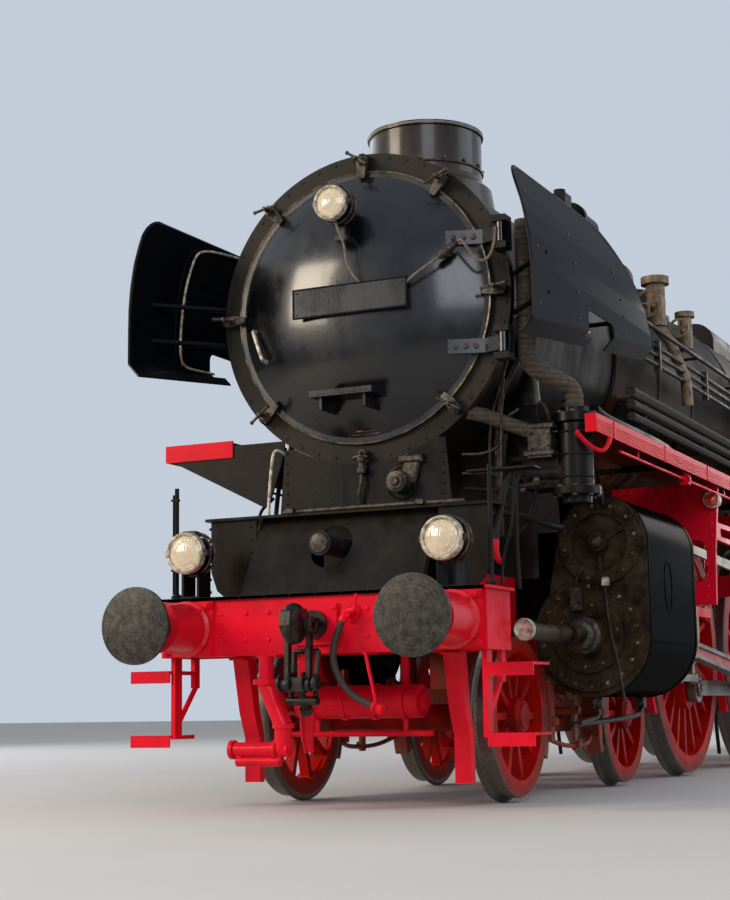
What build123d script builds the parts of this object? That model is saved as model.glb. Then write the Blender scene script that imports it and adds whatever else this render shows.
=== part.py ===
from build123d import *
import math
import os

# A three-cylinder 4-6-2 express steam locomotive without its tender, in millimetres.
# X runs across (the locomotive's left side is +X), Y runs back from the buffers, Z up from the rail top.
# Every place along the engine is measured from the buffer faces, and place() moves the whole to the row frame.

# Driving dimensions
FLANGE_DEPTH = 28.0
FIT = 0.3
OPEN_PIVOT_GAP = 6.0

BOGIE_AXLE_Y = 1775.0
BOGIE_WHEELBASE = 2200.0
BOGIE_TO_DRIVER = 1800.0
DRIVER_SPACING = 2300.0
DRIVER_TO_TRAILING = 3800.0
REAR_OVERHANG = 1725.0
TRAILING_WHEEL_GAP = 100.0
DRIVER_RADIUS = 1000.0
BOGIE_RADIUS = 500.0
TRAILING_RADIUS = 625.0
WHEEL_BACK_X = 680.0
TYRE_WIDTH = 140.0
STROKE_HALF = 330.0
CRANK_LEFT_DEG = 250.0
CRANK_SPACING_DEG = 120.0

BEAM_Y = 620.0
BEAM_DEPTH = 370.0
BEAM_HALF_WIDTH = 1070.0
BEAM_Z = (880.0, 1220.0)
BUFFER_X = 875.0
BUFFER_Z = 1050.0
BUFFER_HEAD_RADIUS = 225.0

FRAME_X = (500.0, 600.0)
FRAME_FOOT_Z = 1075.0
BOILER_Z = 3100.0
SMOKEBOX_Y = (1308.0, 3450.0)
SMOKEBOX_RADIUS = 985.0
SMOKEBOX_WALL = 25.0
FRONT_PLATE = 20.0
DOOR_SEAT_RADIUS = 850.0
RING_RADIUS = 1012.0
DOOR_RADIUS = 888.0
DOOR_BULGE = 215.0
DOOR_HINGE_X = 985.0
DOOR_HINGE_Y = 1236.0
BARREL_RADIUS = (1000.0, 1080.0)
BARREL_CONE_Y = (5650.0, 6850.0)
BAND_RISE = 5.0
BAND_WIDTH = 60.0
BAND_Y = (3480.0, 4600.0, 5600.0, 6860.0, 8050.0, 9500.0, 10860.0)
FIREBOX_Y = (10950.0, 13450.0)
FIREBOX_HALF_BASE = 985.0
MUD_RING_Z = 1720.0
CHIMNEY_Y = 2374.0
CHIMNEY_RADIUS = 395.0
CHIMNEY_TOP_Z = 4550.0

CYLINDER_X = 1130.0
CYLINDER_Y = (2300.0, 3450.0)
CYLINDER_Z = DRIVER_RADIUS
CYLINDER_JACKET_RADIUS = 390.0
VALVE_X = 1215.0
VALVE_Z = 1600.0
VALVE_JACKET_RADIUS = 305.0
MAIN_ROD_LENGTH = 3500.0
ROD_PLANE_X = (1085.0, 1175.0)
COUPLING_PLANE_X = (868.0, 938.0)
SLIDE_BAR_Z = (1232.0, 1304.0)
MOTION_PLATE_Y = (4560.0, 4600.0)
LINK_PLATE_Y = (6905.0, 6945.0)

BOARD_Z = (2280.0, 2300.0)
BOARD_X = (960.0, 1474.0)
BOARD_FRONT_Y = {"left": 1480.0, "right": 1300.0}
CAB_Y = (12900.0, 15640.0)
CAB_HALF_WIDTH = 1525.0
CAB_WALL = 40.0
CAB_FLOOR_Z = (1700.0, 1740.0)
CAB_SIDE_FOOT_Z = 1500.0
EAVE_Z = 3480.0
ROOF_RISE = 790.0
ROOF_Y = (12820.0, 15760.0)
DOORWAY_Y = (15000.0, 15560.0)

FIRST_DRIVER_Y = BOGIE_AXLE_Y + BOGIE_WHEELBASE + BOGIE_TO_DRIVER
DRIVER_Y = [FIRST_DRIVER_Y + n * DRIVER_SPACING for n in range(3)]
TRAILING_Y = DRIVER_Y[2] + DRIVER_TO_TRAILING
LENGTH = TRAILING_Y + REAR_OVERHANG
DRAG_BOX_Y = TRAILING_Y + TRAILING_RADIUS + TRAILING_WHEEL_GAP
BOGIE_Y = BOGIE_AXLE_Y + BOGIE_WHEELBASE / 2
TRUCK_PIVOT_Y = 12250.0
SIDES = {"left": 1, "right": -1}
CRANK_DEG = {"left": CRANK_LEFT_DEG, "right": CRANK_LEFT_DEG + CRANK_SPACING_DEG}


# Shape helpers
def block(x, y, z):
    """A box between two values on each axis."""
    size = Box(x[1] - x[0], y[1] - y[0], z[1] - z[0])
    return Pos((x[0] + x[1]) / 2, (y[0] + y[1]) / 2, (z[0] + z[1]) / 2) * size


def bar(start, end, radius):
    """A round bar between two points."""
    along = Vector(*end) - Vector(*start)
    plane = Plane(origin=start, z_dir=along.normalized())
    return plane * Cylinder(radius, along.length, align=(Align.CENTER, Align.CENTER, Align.MIN))


def pipe(points, radius, bends):
    """A pipe along straight runs joined by arcs; bends holds one radius for each corner."""
    path = FilletPolyline(*points, radius=bends)
    section = Plane(origin=path @ 0, z_dir=path % 0) * Circle(radius)
    return sweep(section, path=path)


def outline(points):
    return make_face(Polyline(*points, close=True))


def side_plate(face, x):
    """A face drawn in (y, z), given its thickness across the engine."""
    return extrude(Plane.YZ.offset(x[0]) * face, amount=x[1] - x[0], dir=(1, 0, 0))


def cross_plate(face, y):
    """A face drawn in (x, z), given its thickness along the engine."""
    return extrude(Pos(0, y[0], 0) * (Plane.XZ * face), amount=y[1] - y[0], dir=(0, 1, 0))


def turned_x(points):
    """A profile in (x, radius) turned about the X axis."""
    return revolve(outline(points), Axis.X)


def turned_y(profile):
    """A profile in (radius, y) turned about the Y axis."""
    return revolve(profile, Axis.Y)


def turned_z(points):
    """A profile in (radius, z) turned about the Z axis."""
    return revolve(Plane.XZ * outline(points), Axis.Z)


def slab_between(first, second, first_half, second_half):
    """A tapered bar's face between two points, with round ends."""
    (y0, z0), (y1, z1) = first, second
    length = math.hypot(y1 - y0, z1 - z0)
    uy, uz = (y1 - y0) / length, (z1 - z0) / length
    corners = [
        (y0 - uz * first_half, z0 + uy * first_half),
        (y1 - uz * second_half, z1 + uy * second_half),
        (y1 + uz * second_half, z1 - uy * second_half),
        (y0 + uz * first_half, z0 - uy * first_half),
    ]
    return outline(corners)


def both_sides(shape):
    """The shape and its mirror image on the other side of the engine."""
    return [shape, mirror(shape, about=Plane.YZ)]


def on_side(shape, side):
    return shape if side == "left" else mirror(shape, about=Plane.YZ)


def fused(pieces):
    """Pieces that touch or overlap, joined."""
    return Part() + pieces


# Wheels, axles and rods

# radius, spokes, hub radius, rim depth, spoke width at hub and rim, window corner, axle radius, hub face
WHEEL_KINDS = {
    "driver": dict(radius=DRIVER_RADIUS, spokes=20, hub=200.0, rim=135.0, spoke=(40.0, 48.0), corner=9.0, axle=105.0,
                   face=850.0),
    "bogie": dict(radius=BOGIE_RADIUS, spokes=10, hub=115.0, rim=105.0, spoke=(42.0, 44.0), corner=11.0, axle=80.0,
                  face=846.0),
    "trailing": dict(radius=TRAILING_RADIUS, spokes=11, hub=130.0, rim=110.0, spoke=(44.0, 48.0), corner=12.0,
                     axle=90.0, face=846.0),
}
FLANGE_THICKNESS = 32.0
TYRE_DEPTH = 70.0
WEB_X = (712.0, 780.0)
CRANK_BOSS_RADIUS = 165.0
CRANK_PIN_RADIUS = 85.0
COUPLING_PIN_RADIUS = 70.0
WEIGHT_CHORD = 520.0
WEIGHT_X = (704.0, 808.0)
AXLE_END = 6.0


def crank_point(side, centre_y, radius=STROKE_HALF, turn=0.0):
    """Where a crank pin at that radius stands in (y, z)."""
    angle = math.radians(CRANK_DEG[side] + turn)
    return centre_y + radius * math.cos(angle), DRIVER_RADIUS + radius * math.sin(angle)


def spoke_windows(kind):
    """The openings between the spokes, as one sketch round the origin."""
    inner, outer = kind["hub"] - 4, kind["radius"] - kind["rim"] + 4
    step = 2 * math.pi / kind["spokes"]
    low = step / 2 - math.asin(kind["spoke"][0] / 2 / inner)
    high = step / 2 - math.asin(kind["spoke"][1] / 2 / outer)
    corners = [(inner, -low), (outer, -high), (outer, high), (inner, low)]
    window = outline([(r * math.cos(a), r * math.sin(a)) for r, a in corners])
    window = fillet(window.vertices(), kind["corner"])
    return [Rot(0, 0, math.degrees(step) * (n + 0.5)) * window for n in range(kind["spokes"])]


def wheel(kind, crank_deg=None, pin=None):
    """One wheel about the X axis on the +X side, with its crank pin where it has one."""
    radius, back = kind["radius"], WHEEL_BACK_X
    front = back + TYRE_WIDTH
    rim_inner = radius - kind["rim"]
    tyre = turned_x([
        (back, rim_inner), (front, rim_inner), (front, radius - 8), (front - 12, radius),
        (back + FLANGE_THICKNESS + 14, radius), (back + FLANGE_THICKNESS, radius + 8),
        (back + FLANGE_THICKNESS - 10, radius + FLANGE_DEPTH), (back + 10, radius + FLANGE_DEPTH),
        (back, radius + FLANGE_DEPTH - 12),
    ])
    web = Circle(rim_inner + 10) - spoke_windows(kind)
    pieces = [side_plate(web, WEB_X)]
    pieces.append(turned_x([(back, 0), (back, kind["hub"]), (kind["face"] - 20, kind["hub"]),
                            (kind["face"], kind["hub"] - 20), (kind["face"], 0)]))
    if crank_deg is not None:
        angle = math.radians(crank_deg)
        place_pin = Pos(STROKE_HALF * math.cos(angle), STROKE_HALF * math.sin(angle))
        boss = place_pin * Circle(CRANK_BOSS_RADIUS)
        neck = slab_between((0, 0), (STROKE_HALF * math.cos(angle), STROKE_HALF * math.sin(angle)),
                            kind["hub"] - 10, CRANK_BOSS_RADIUS - 10)
        pieces.append(side_plate(boss + neck, (back, kind["face"])))
        half_plane = Rot(0, 0, crank_deg + 180) * Pos(WEIGHT_CHORD + radius / 2) * Rectangle(radius, 2 * radius)
        pieces.append(side_plate(Circle(rim_inner + 10) & half_plane, WEIGHT_X))
        for pin_radius, pin_end in pin:
            pieces.append(side_plate(place_pin * Circle(pin_radius), (kind["face"] - 10, pin_end)))
    return fused([tyre] + pieces)


def wheelset(kind, centre_y, cranked=False, pin=None):
    """An axle in the bores of its two wheels, which turn with it."""
    end = kind["face"] + AXLE_END
    pieces = [bar((-end, 0, 0), (end, 0, 0), kind["axle"])]
    for side in SIDES:
        degrees = CRANK_DEG[side] if cranked else None
        bore = bar((-end, 0, 0), (end, 0, 0), kind["axle"] + FIT)
        pieces.append(on_side(wheel(kind, degrees, pin), side) - bore)
    return Pos(0, centre_y, kind["radius"]) * fused(pieces)


ROD_BOSS_RADIUS = 118.0
ROD_HALF_DEPTH = 62.0
FLUTE_DEPTH = 16.0
FLUTE_MARGIN = 24.0
PIN_NUT_RADIUS = 52.0


def coupling_rod(side):
    """The rod that joins the three drivers' crank pins, with a knuckle behind the middle one."""
    pins = [crank_point(side, y) for y in DRIVER_Y]
    x = COUPLING_PLANE_X
    rod, flutes = Sketch(), []
    for (y, z), boss in zip(pins, (ROD_BOSS_RADIUS, ROD_BOSS_RADIUS + 20, ROD_BOSS_RADIUS)):
        rod += Pos(y, z) * Circle(boss)
    for first, second in zip(pins, pins[1:]):
        rod += slab_between(first, second, ROD_HALF_DEPTH, ROD_HALF_DEPTH)
        near, far = first[0] + 290, second[0] - 290
        half = ROD_HALF_DEPTH - FLUTE_MARGIN
        flutes.append(block((x[1] - FLUTE_DEPTH, x[1] + 1), (near, far), (first[1] - half, first[1] + half)))
    knuckle_y = pins[1][0] + 330
    rod += Pos(knuckle_y, pins[1][1]) * Circle(ROD_HALF_DEPTH + 24)
    holes = [Pos(y, z) * Circle(r + FIT) for (y, z), r in
             zip(pins, (COUPLING_PIN_RADIUS, CRANK_PIN_RADIUS, COUPLING_PIN_RADIUS))]
    solid = side_plate(rod - holes, x) - flutes
    solid += bar((x[1] - 2, knuckle_y, pins[1][1]), (x[1] + 16, knuckle_y, pins[1][1]), ROD_HALF_DEPTH - 12)
    for y, z in pins:
        oil_cup = block((x[0] + 15, x[1] - 15), (y - 28, y + 28), (z + ROD_BOSS_RADIUS - 12, z + ROD_BOSS_RADIUS + 44))
        solid += oil_cup
    return solid


def crosshead_y(side):
    """Where the crosshead pin stands, from the crank's angle and the rod's length."""
    pin_y, pin_z = crank_point(side, DRIVER_Y[1])
    return pin_y - math.sqrt(MAIN_ROD_LENGTH ** 2 - (pin_z - CYLINDER_Z) ** 2)


BIG_END_RADIUS = 165.0
SMALL_END_RADIUS = 100.0
CROSSHEAD_PIN_RADIUS = 50.0


def main_rod(side):
    """The rod from the crosshead to the middle driver, with the outer end of its crank pin."""
    big, small = crank_point(side, DRIVER_Y[1]), (crosshead_y(side), CYLINDER_Z)
    x = ROD_PLANE_X
    uy, uz = (big[0] - small[0]) / MAIN_ROD_LENGTH, (big[1] - small[1]) / MAIN_ROD_LENGTH
    strap = Pos(*big) * Rot(0, 0, math.degrees(math.atan2(uz, uy))) * RectangleRounded(
        2.25 * BIG_END_RADIUS, 1.9 * BIG_END_RADIUS, 60)
    face = strap + Pos(*small) * Circle(SMALL_END_RADIUS) + slab_between(small, big, 58, 78)
    bore = Pos(*small) * Circle(CROSSHEAD_PIN_RADIUS + FIT)
    solid = side_plate(face - bore, x)
    near = (small[0] + uy * 260, small[1] + uz * 260)
    far = (big[0] - uy * 420, big[1] - uz * 420)
    solid -= side_plate(slab_between(near, far, 30, 44), (x[1] - 20, x[1] + 1))
    solid -= side_plate(slab_between(near, far, 30, 44), (x[0] - 1, x[0] + 20))
    solid += bar((x[1] - 5, *big), (x[1] + 15, *big), CRANK_PIN_RADIUS)
    return on_side(solid, side)


def crosshead(side):
    """Crosshead, its pin, the piston rod and the arm for the union link."""
    y = crosshead_y(side)
    inner, outer = ROD_PLANE_X
    z = CYLINDER_Z
    cheek = outline([(y - 215, z - 95), (y + 150, z - 95), (y + 235, z + 60), (y + 235, SLIDE_BAR_Z[0] - FIT),
                     (y - 235, SLIDE_BAR_Z[0] - FIT), (y - 235, z + 60)])
    cheeks = [side_plate(cheek, (inner - 34, inner - FIT)), side_plate(cheek, (outer + FIT, outer + 34))]
    bridge = block((inner - 34, outer + 34), (y - 235, y + 235), (z + 140, SLIDE_BAR_Z[0] - FIT))
    keeper = [block((inner - 34, inner - 16), (y - 200, y + 200), (z + 140, SLIDE_BAR_Z[1] - 6)),
              block((outer + 16, outer + 34), (y - 200, y + 200), (z + 140, SLIDE_BAR_Z[1] - 6))]
    pin = bar((inner - 40, y, z), (outer + 46, y, z), CROSSHEAD_PIN_RADIUS)
    socket = bar((CYLINDER_X, y - 330, z), (CYLINDER_X, y - 150, z), 82)
    nose = block((inner - 34, outer + 34), (y - 235, y - 150), (z - 95, z + 150))
    rod = bar((CYLINDER_X, CYLINDER_Y[1] + 70 + FIT, z), (CYLINDER_X, y - 320, z), 45)
    arm_y = y - 60
    arm = side_plate(slab_between((arm_y, z), (arm_y, z - 250), 45, 34) + Pos(arm_y, z - 250) * Circle(40),
                     (outer + 30, outer + 56))
    return on_side(fused(cheeks + keeper + [bridge, pin, socket, nose, rod, arm]), side)


LINK_TRUNNION = (6350.0, 1640.0)
LEVER_TOP_Z = 1730.0
UNION_LENGTH = 430.0
UNION_Z = CYLINDER_Z - 250.0
VALVE_SPINDLE_Y = (3560.0, 4020.0)


def valve_gear(side):
    """Walschaerts gear: return crank, eccentric rod, expansion link, radius rod, lever and union link."""
    plane = ROD_PLANE_X[1]
    outer = (plane + 80, plane + 110)
    middle = (plane + 57, plane + 79)
    big = crank_point(side, DRIVER_Y[1])
    eccentric = crank_point(side, DRIVER_Y[1], 190.0, -82.0)
    pieces = [
        side_plate(slab_between(big, eccentric, 70, 46) + Pos(*big) * Circle(88) + Pos(*eccentric) * Circle(56),
                   (plane + 15 + FIT, plane + 62)),
        bar((plane + 40, *eccentric), (outer[1] + 8, *eccentric), 34),
    ]
    foot = (LINK_TRUNNION[0] + 70, LINK_TRUNNION[1] - 420)
    pieces.append(side_plate(slab_between(foot, eccentric, 32, 38) + Pos(*eccentric) * Circle(66)
                             + Pos(*foot) * Circle(54), outer))
    reach = LINK_TRUNNION[0] - VALVE_SPINDLE_Y[1]
    arc_centre = (LINK_TRUNNION[0] - reach, LEVER_TOP_Z - 60)
    link = (Pos(*arc_centre) * (Circle(reach + 52) - Circle(reach - 52))) & (
        Pos(*LINK_TRUNNION) * Rectangle(500, 620))
    slot = (Pos(*arc_centre) * (Circle(reach + 22) - Circle(reach - 22))) & (
        Pos(*LINK_TRUNNION) * Rectangle(500, 500))
    tail = slab_between((LINK_TRUNNION[0] + 10, LINK_TRUNNION[1] - 260), foot, 46, 40)
    pieces.append(side_plate((link - slot) + tail, (plane + 60, outer[0] + 20)))
    pieces.append(bar((plane + 61, *LINK_TRUNNION), (outer[0] + 45, *LINK_TRUNNION), 60))
    lever_foot = (crosshead_y(side) - 60 - UNION_LENGTH, UNION_Z)
    lean = (lever_foot[0] - VALVE_SPINDLE_Y[1]) / (VALVE_Z - UNION_Z)
    lever_top = (VALVE_SPINDLE_Y[1] - lean * (LEVER_TOP_Z - VALVE_Z), LEVER_TOP_Z)
    pieces.append(side_plate(slab_between(lever_top, lever_foot, 34, 26) + Pos(*lever_top) * Circle(42)
                             + Pos(*lever_foot) * Circle(38), middle))
    pieces.append(side_plate(slab_between(lever_top, LINK_TRUNNION, 30, 42) + Pos(*lever_top) * Circle(44),
                             (plane + 78, plane + 104)))
    arm = (crosshead_y(side) - 60, UNION_Z)
    pieces.append(side_plate(slab_between(lever_foot, arm, 26, 26) + Pos(*lever_foot) * Circle(36)
                             + Pos(*arm) * Circle(36), (plane + 56 + FIT, plane + 80)))
    pieces.append(bar((VALVE_X, VALVE_SPINDLE_Y[0] + FIT, VALVE_Z),
                      (VALVE_X, VALVE_SPINDLE_Y[1] + 60, VALVE_Z), 28))
    pieces.append(bar((VALVE_X - 40, VALVE_SPINDLE_Y[1], VALVE_Z), (plane + 78, VALVE_SPINDLE_Y[1], VALVE_Z), 24))
    return on_side(fused(pieces), side)


def motion_bracket(side):
    """Slide bar, the plate that carries it, the link carrier and its rear plate."""
    frame_face = FRAME_X[1] + FIT
    top = BOARD_Z[0] - 45
    front = outline([(frame_face, 1180), (1000, 1180), (1040, SLIDE_BAR_Z[1]), (1390, SLIDE_BAR_Z[1]),
                     (1400, 1700), (1440, top), (frame_face, top)])
    front -= Pos(820, 1640) * RectangleRounded(250, 520, 90)
    front -= Pos(1230, 1640) * RectangleRounded(200, 330, 80)
    rear = outline([(frame_face, 1250), (820, 1500), (1400, 1540), (1440, top), (frame_face, top)])
    rear -= Pos(860, 1860) * RectangleRounded(300, 330, 90)
    rear -= Pos(1180, 1880) * RectangleRounded(150, 330, 60)
    slide_bar = block((CYLINDER_X - 58, CYLINDER_X + 58), (CYLINDER_Y[1] + 70 + FIT, 5190), SLIDE_BAR_Z)
    carrier_x = (ROD_PLANE_X[1] + 146, ROD_PLANE_X[1] + 176)
    carrier = outline([(MOTION_PLATE_Y[1] - 5, 1830), (5900, 1800), (6150, 1560), (6550, 1560),
                       (6760, 1800), (LINK_PLATE_Y[0] + 5, 1830), (LINK_PLATE_Y[0] + 5, 1960),
                       (MOTION_PLATE_Y[1] - 5, 1960)])
    carrier -= Pos(5300, 1890) * RectangleRounded(700, 70, 30)
    pieces = [
        cross_plate(front, MOTION_PLATE_Y), cross_plate(rear, LINK_PLATE_Y), slide_bar,
        side_plate(carrier, carrier_x),
        bar((ROD_PLANE_X[1] + 126, *LINK_TRUNNION), (carrier_x[1] + 24, *LINK_TRUNNION), 50),
    ]
    return on_side(fused(pieces) - boiler_envelope(), side)


# Cylinders

COVER_BOLTS = 18
STEAM_PIPE = ((930, BOGIE_Y - 130, 1500), (850, BOGIE_Y - 130, 2620))
STEAM_PIPE_RADIUS = 115.0


def jacket_face(shrink=0.0):
    """The cylinder and steam chest's outline, seen from the front: two circles and their common sides."""
    low, high = (CYLINDER_X, CYLINDER_Z), (VALVE_X, VALVE_Z)
    low_r, high_r = CYLINDER_JACKET_RADIUS - shrink, VALVE_JACKET_RADIUS - shrink
    outer_x = CYLINDER_X + low_r
    waist = outline([(low[0] - low_r + 60, low[1]), (outer_x, low[1]), (high[0] + high_r, high[1]),
                     (high[0] - high_r, high[1])])
    return Pos(*low) * Circle(low_r) + Pos(*high) * Circle(high_r) + waist


def cylinder(side):
    """An outside cylinder with its steam chest, covers, tail rod tube and the seat on the frame."""
    y0, y1 = CYLINDER_Y
    body = cross_plate(jacket_face(), CYLINDER_Y)
    seat = block((FRAME_X[1] + FIT, CYLINDER_X - 250), (y0 + 40, y1 - 40), (1085, 1395))
    steam_pipe = bar(*STEAM_PIPE, STEAM_PIPE_RADIUS)
    neck = block((740, 1010), (y0 + 120, y1 - 320), (1300, 1700))
    pieces = [body, seat, neck, steam_pipe]
    low = (CYLINDER_X, CYLINDER_Z)
    high = (VALVE_X, VALVE_Z)
    for radius, start, end in ((352, y0 - 42, y0 + 5), (235, y0 - 74, y0 - 40), (118, y0 - 170, y0 - 70),
                               (92, y0 - 215, y0 - 165), (56, y0 - 1225, y0 - 210), (64, y0 - 1240, y0 - 1215),
                               (352, y1 - 5, y1 + 40), (170, y1 + 35, y1 + 70)):
        pieces.append(bar((low[0], start, low[1]), (low[0], end, low[1]), radius))
    for radius, start, end in ((270, y0 - 50, y0 + 5), (270, y1 - 5, y1 + 46), (120, y1 + 40, y1 + 110)):
        pieces.append(bar((high[0], start, high[1]), (high[0], end, high[1]), radius))
    solid = fused(pieces)
    # The chest's front cover is a ring with a recess, a hub and three arms.
    solid -= bar((high[0], y0 - 51, high[1]), (high[0], y0 - 10, high[1]), 190)
    spider = [bar((high[0], y0 - 92, high[1]), (high[0], y0 - 5, high[1]), 62)]
    for degrees in (90, 210, 330):
        arm = Rot(0, degrees, 0) * block((0, 200), (y0 - 44, y0 - 5), (-13, 13))
        spider.append(Pos(high[0], 0, high[1]) * arm)
    solid += spider
    step = 360 / COVER_BOLTS
    nuts = [Pos(low[0], 0, low[1]) * Rot(0, n * step, 0) * block((306, 334), (y0 - 58, y0 - 40), (-14, 14))
            for n in range(COVER_BOLTS)]
    nuts += [Pos(high[0], 0, high[1]) * Rot(0, n * 36 + 18, 0) * block((218, 244), (y0 - 66, y0 - 48), (-13, 13))
             for n in range(10)]
    # The steam pipe ends just clear of the smokebox shell.
    solid = solid + nuts - bar((0, SMOKEBOX_Y[0], BOILER_Z), (0, SMOKEBOX_Y[1], BOILER_Z), SMOKEBOX_RADIUS + FIT)
    return on_side(solid, side)


def inside_cylinder():
    """The middle cylinder between the frames, with its front cover and tail rod tube leaning down to the front."""
    z = 1500.0
    top = SADDLE_Z[0]
    body = block((-FRAME_X[1], FRAME_X[1]), (1900, 3500), (1400 + FIT, top - FIT))
    lower = block((-FRAME_X[0] + FIT, FRAME_X[0] - FIT), (2000, 3420), (1120, 1410))
    cover = bar((0, 1820, z + 20), (0, 1905, z + 20), 290)
    hub = bar((0, 1700, z + 22), (0, 1825, z + 20), 120)
    tail = bar((INSIDE_TAIL_X, 800, z + 46), (INSIDE_TAIL_X, 1705, z + 22), 62)
    tail_end = bar((INSIDE_TAIL_X, 775, z + 47), (INSIDE_TAIL_X, 802, z + 46), 76)
    return fused([body, lower, cover, hub, tail, tail_end])


INSIDE_TAIL_X = -60.0

# Frame and front end


def main_frame():
    """Two bar frames with pedestals for the coupled axles, their axleboxes, stretchers and the drag box."""
    x = FRAME_X
    bar_face = outline([
        (BEAM_Y + BEAM_DEPTH, FRAME_FOOT_Z), (4450, FRAME_FOOT_Z), (4700, 760), (11300, 760), (11500, 1330),
        (DRAG_BOX_Y - FIT, 1330), (DRAG_BOX_Y - FIT, 1565), (11600, 1565), (11350, 1420), (4700, 1400),
        (BEAM_Y + BEAM_DEPTH, 1400),
    ])
    for y in DRIVER_Y:
        bar_face -= Pos(y, 980) * Rectangle(400, 560)
    for low, high in ((4860, 5440), (6110, 6760), (7040, 7740), (8410, 9060), (9340, 10040), (10720, 11140)):
        bar_face -= Pos((low + high) / 2, 1100) * RectangleRounded(high - low, 340, 110)
    bars = []
    for y in DRIVER_Y:
        keep = block((x[0] - 10, x[1] + 10), (y - 260, y + 260), (700, 760))
        bars.append(keep)
    bars.append(side_plate(bar_face, x))
    pieces = []
    for piece in bars:
        pieces += both_sides(piece)
    inside = (-x[0] + FIT, x[0] - FIT)
    for y0, y1, z0, z1 in ((1000, 1060, 1100, 1380), (3560, 3640, 1090, 1380), (4620, 4720, 900, 1380),
                           (6880, 6960, 800, 1380), (9180, 9260, 800, 1380), (11250, 11330, 900, 1400),
                           (DRAG_BOX_Y - 100, DRAG_BOX_Y - 10, 1340, 1560)):
        pieces.append(block(inside, (y0, y1), (z0, z1)))
    pieces.append(block(inside, (BOGIE_Y - 300, BOGIE_Y + 300), (1076, 1110)))
    pieces.append(block(inside, (TRUCK_PIVOT_Y - 150, TRUCK_PIVOT_Y + 150), (1340, 1400)))
    pieces.append(bar((0, BOGIE_Y, 760), (0, BOGIE_Y, 1080), BOGIE_PIN_RADIUS))
    pieces.append(bar((0, TRUCK_PIVOT_Y, 560), (0, TRUCK_PIVOT_Y, 1350), TRUCK_PIN_RADIUS))
    drag_box = block((-860, 860), (DRAG_BOX_Y, LENGTH), (1000, 1565))
    drag_box -= block((-820, 820), (DRAG_BOX_Y + 30, LENGTH - 40), (990, 1525))
    drag_box -= block((-130, 130), (LENGTH - 50, LENGTH + 1), (1060, 1180))
    pieces.append(drag_box)
    return fused(pieces)


BOGIE_PIN_RADIUS = 90.0
TRUCK_PIN_RADIUS = 60.0
AXLEBOX_HALF = 199.5


def axleboxes():
    """The six boxes that ride in the pedestals on the coupled axles' journals."""
    journal = WHEEL_KINDS["driver"]["axle"]
    boxes = []
    for y in DRIVER_Y:
        box = block((FRAME_X[0] - 25, FRAME_X[1] + 60), (y - AXLEBOX_HALF, y + AXLEBOX_HALF), (762, 1230))
        box -= bar((0, y, DRIVER_RADIUS), (800, y, DRIVER_RADIUS), journal + FIT)
        boxes += both_sides(box)
    return fused(boxes)


def buffer_beam():
    """The box-shaped front beam with the buffer and hook plates and the deck edge."""
    y0, y1 = BEAM_Y, BEAM_Y + BEAM_DEPTH
    beam = block((-BEAM_HALF_WIDTH, BEAM_HALF_WIDTH), (y0, y1), BEAM_Z)
    hollow = block((-BEAM_HALF_WIDTH + 30, BEAM_HALF_WIDTH - 30), (y0 + 30, y1 - 30), (BEAM_Z[0] - 1, BEAM_Z[1] - 30))
    plates = both_sides(block((700, 1050), (y0 - 18, y0 + 1), (885, 1215)))
    hook_plate = block((-140, 140), (y0 - 24, y0 + 1), (930, 1170))
    deck = block((-1100, 1100), (y0 - 24, y1), (BEAM_Z[1], BEAM_Z[1] + 16))
    return fused([beam - hollow, hook_plate, deck] + plates)


def buffers():
    """Two sprung buffers: head, plunger and housing."""
    y_seat = BEAM_Y - 18 - FIT
    arc_top = (0.0, 0.0)
    profile = make_face([
        ThreePointArc(arc_top, (BUFFER_HEAD_RADIUS * 0.55, 5), (BUFFER_HEAD_RADIUS, 17)),
        Polyline((BUFFER_HEAD_RADIUS, 17), (BUFFER_HEAD_RADIUS, 38), (120, 62), (108, 90), (108, 250), (150, 250),
                 (150, 560), (168, 575), (168, y_seat), (0, y_seat), arc_top),
    ])
    shape = Pos(BUFFER_X, 0, BUFFER_Z) * turned_y(profile)
    return fused(both_sides(shape))


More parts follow.
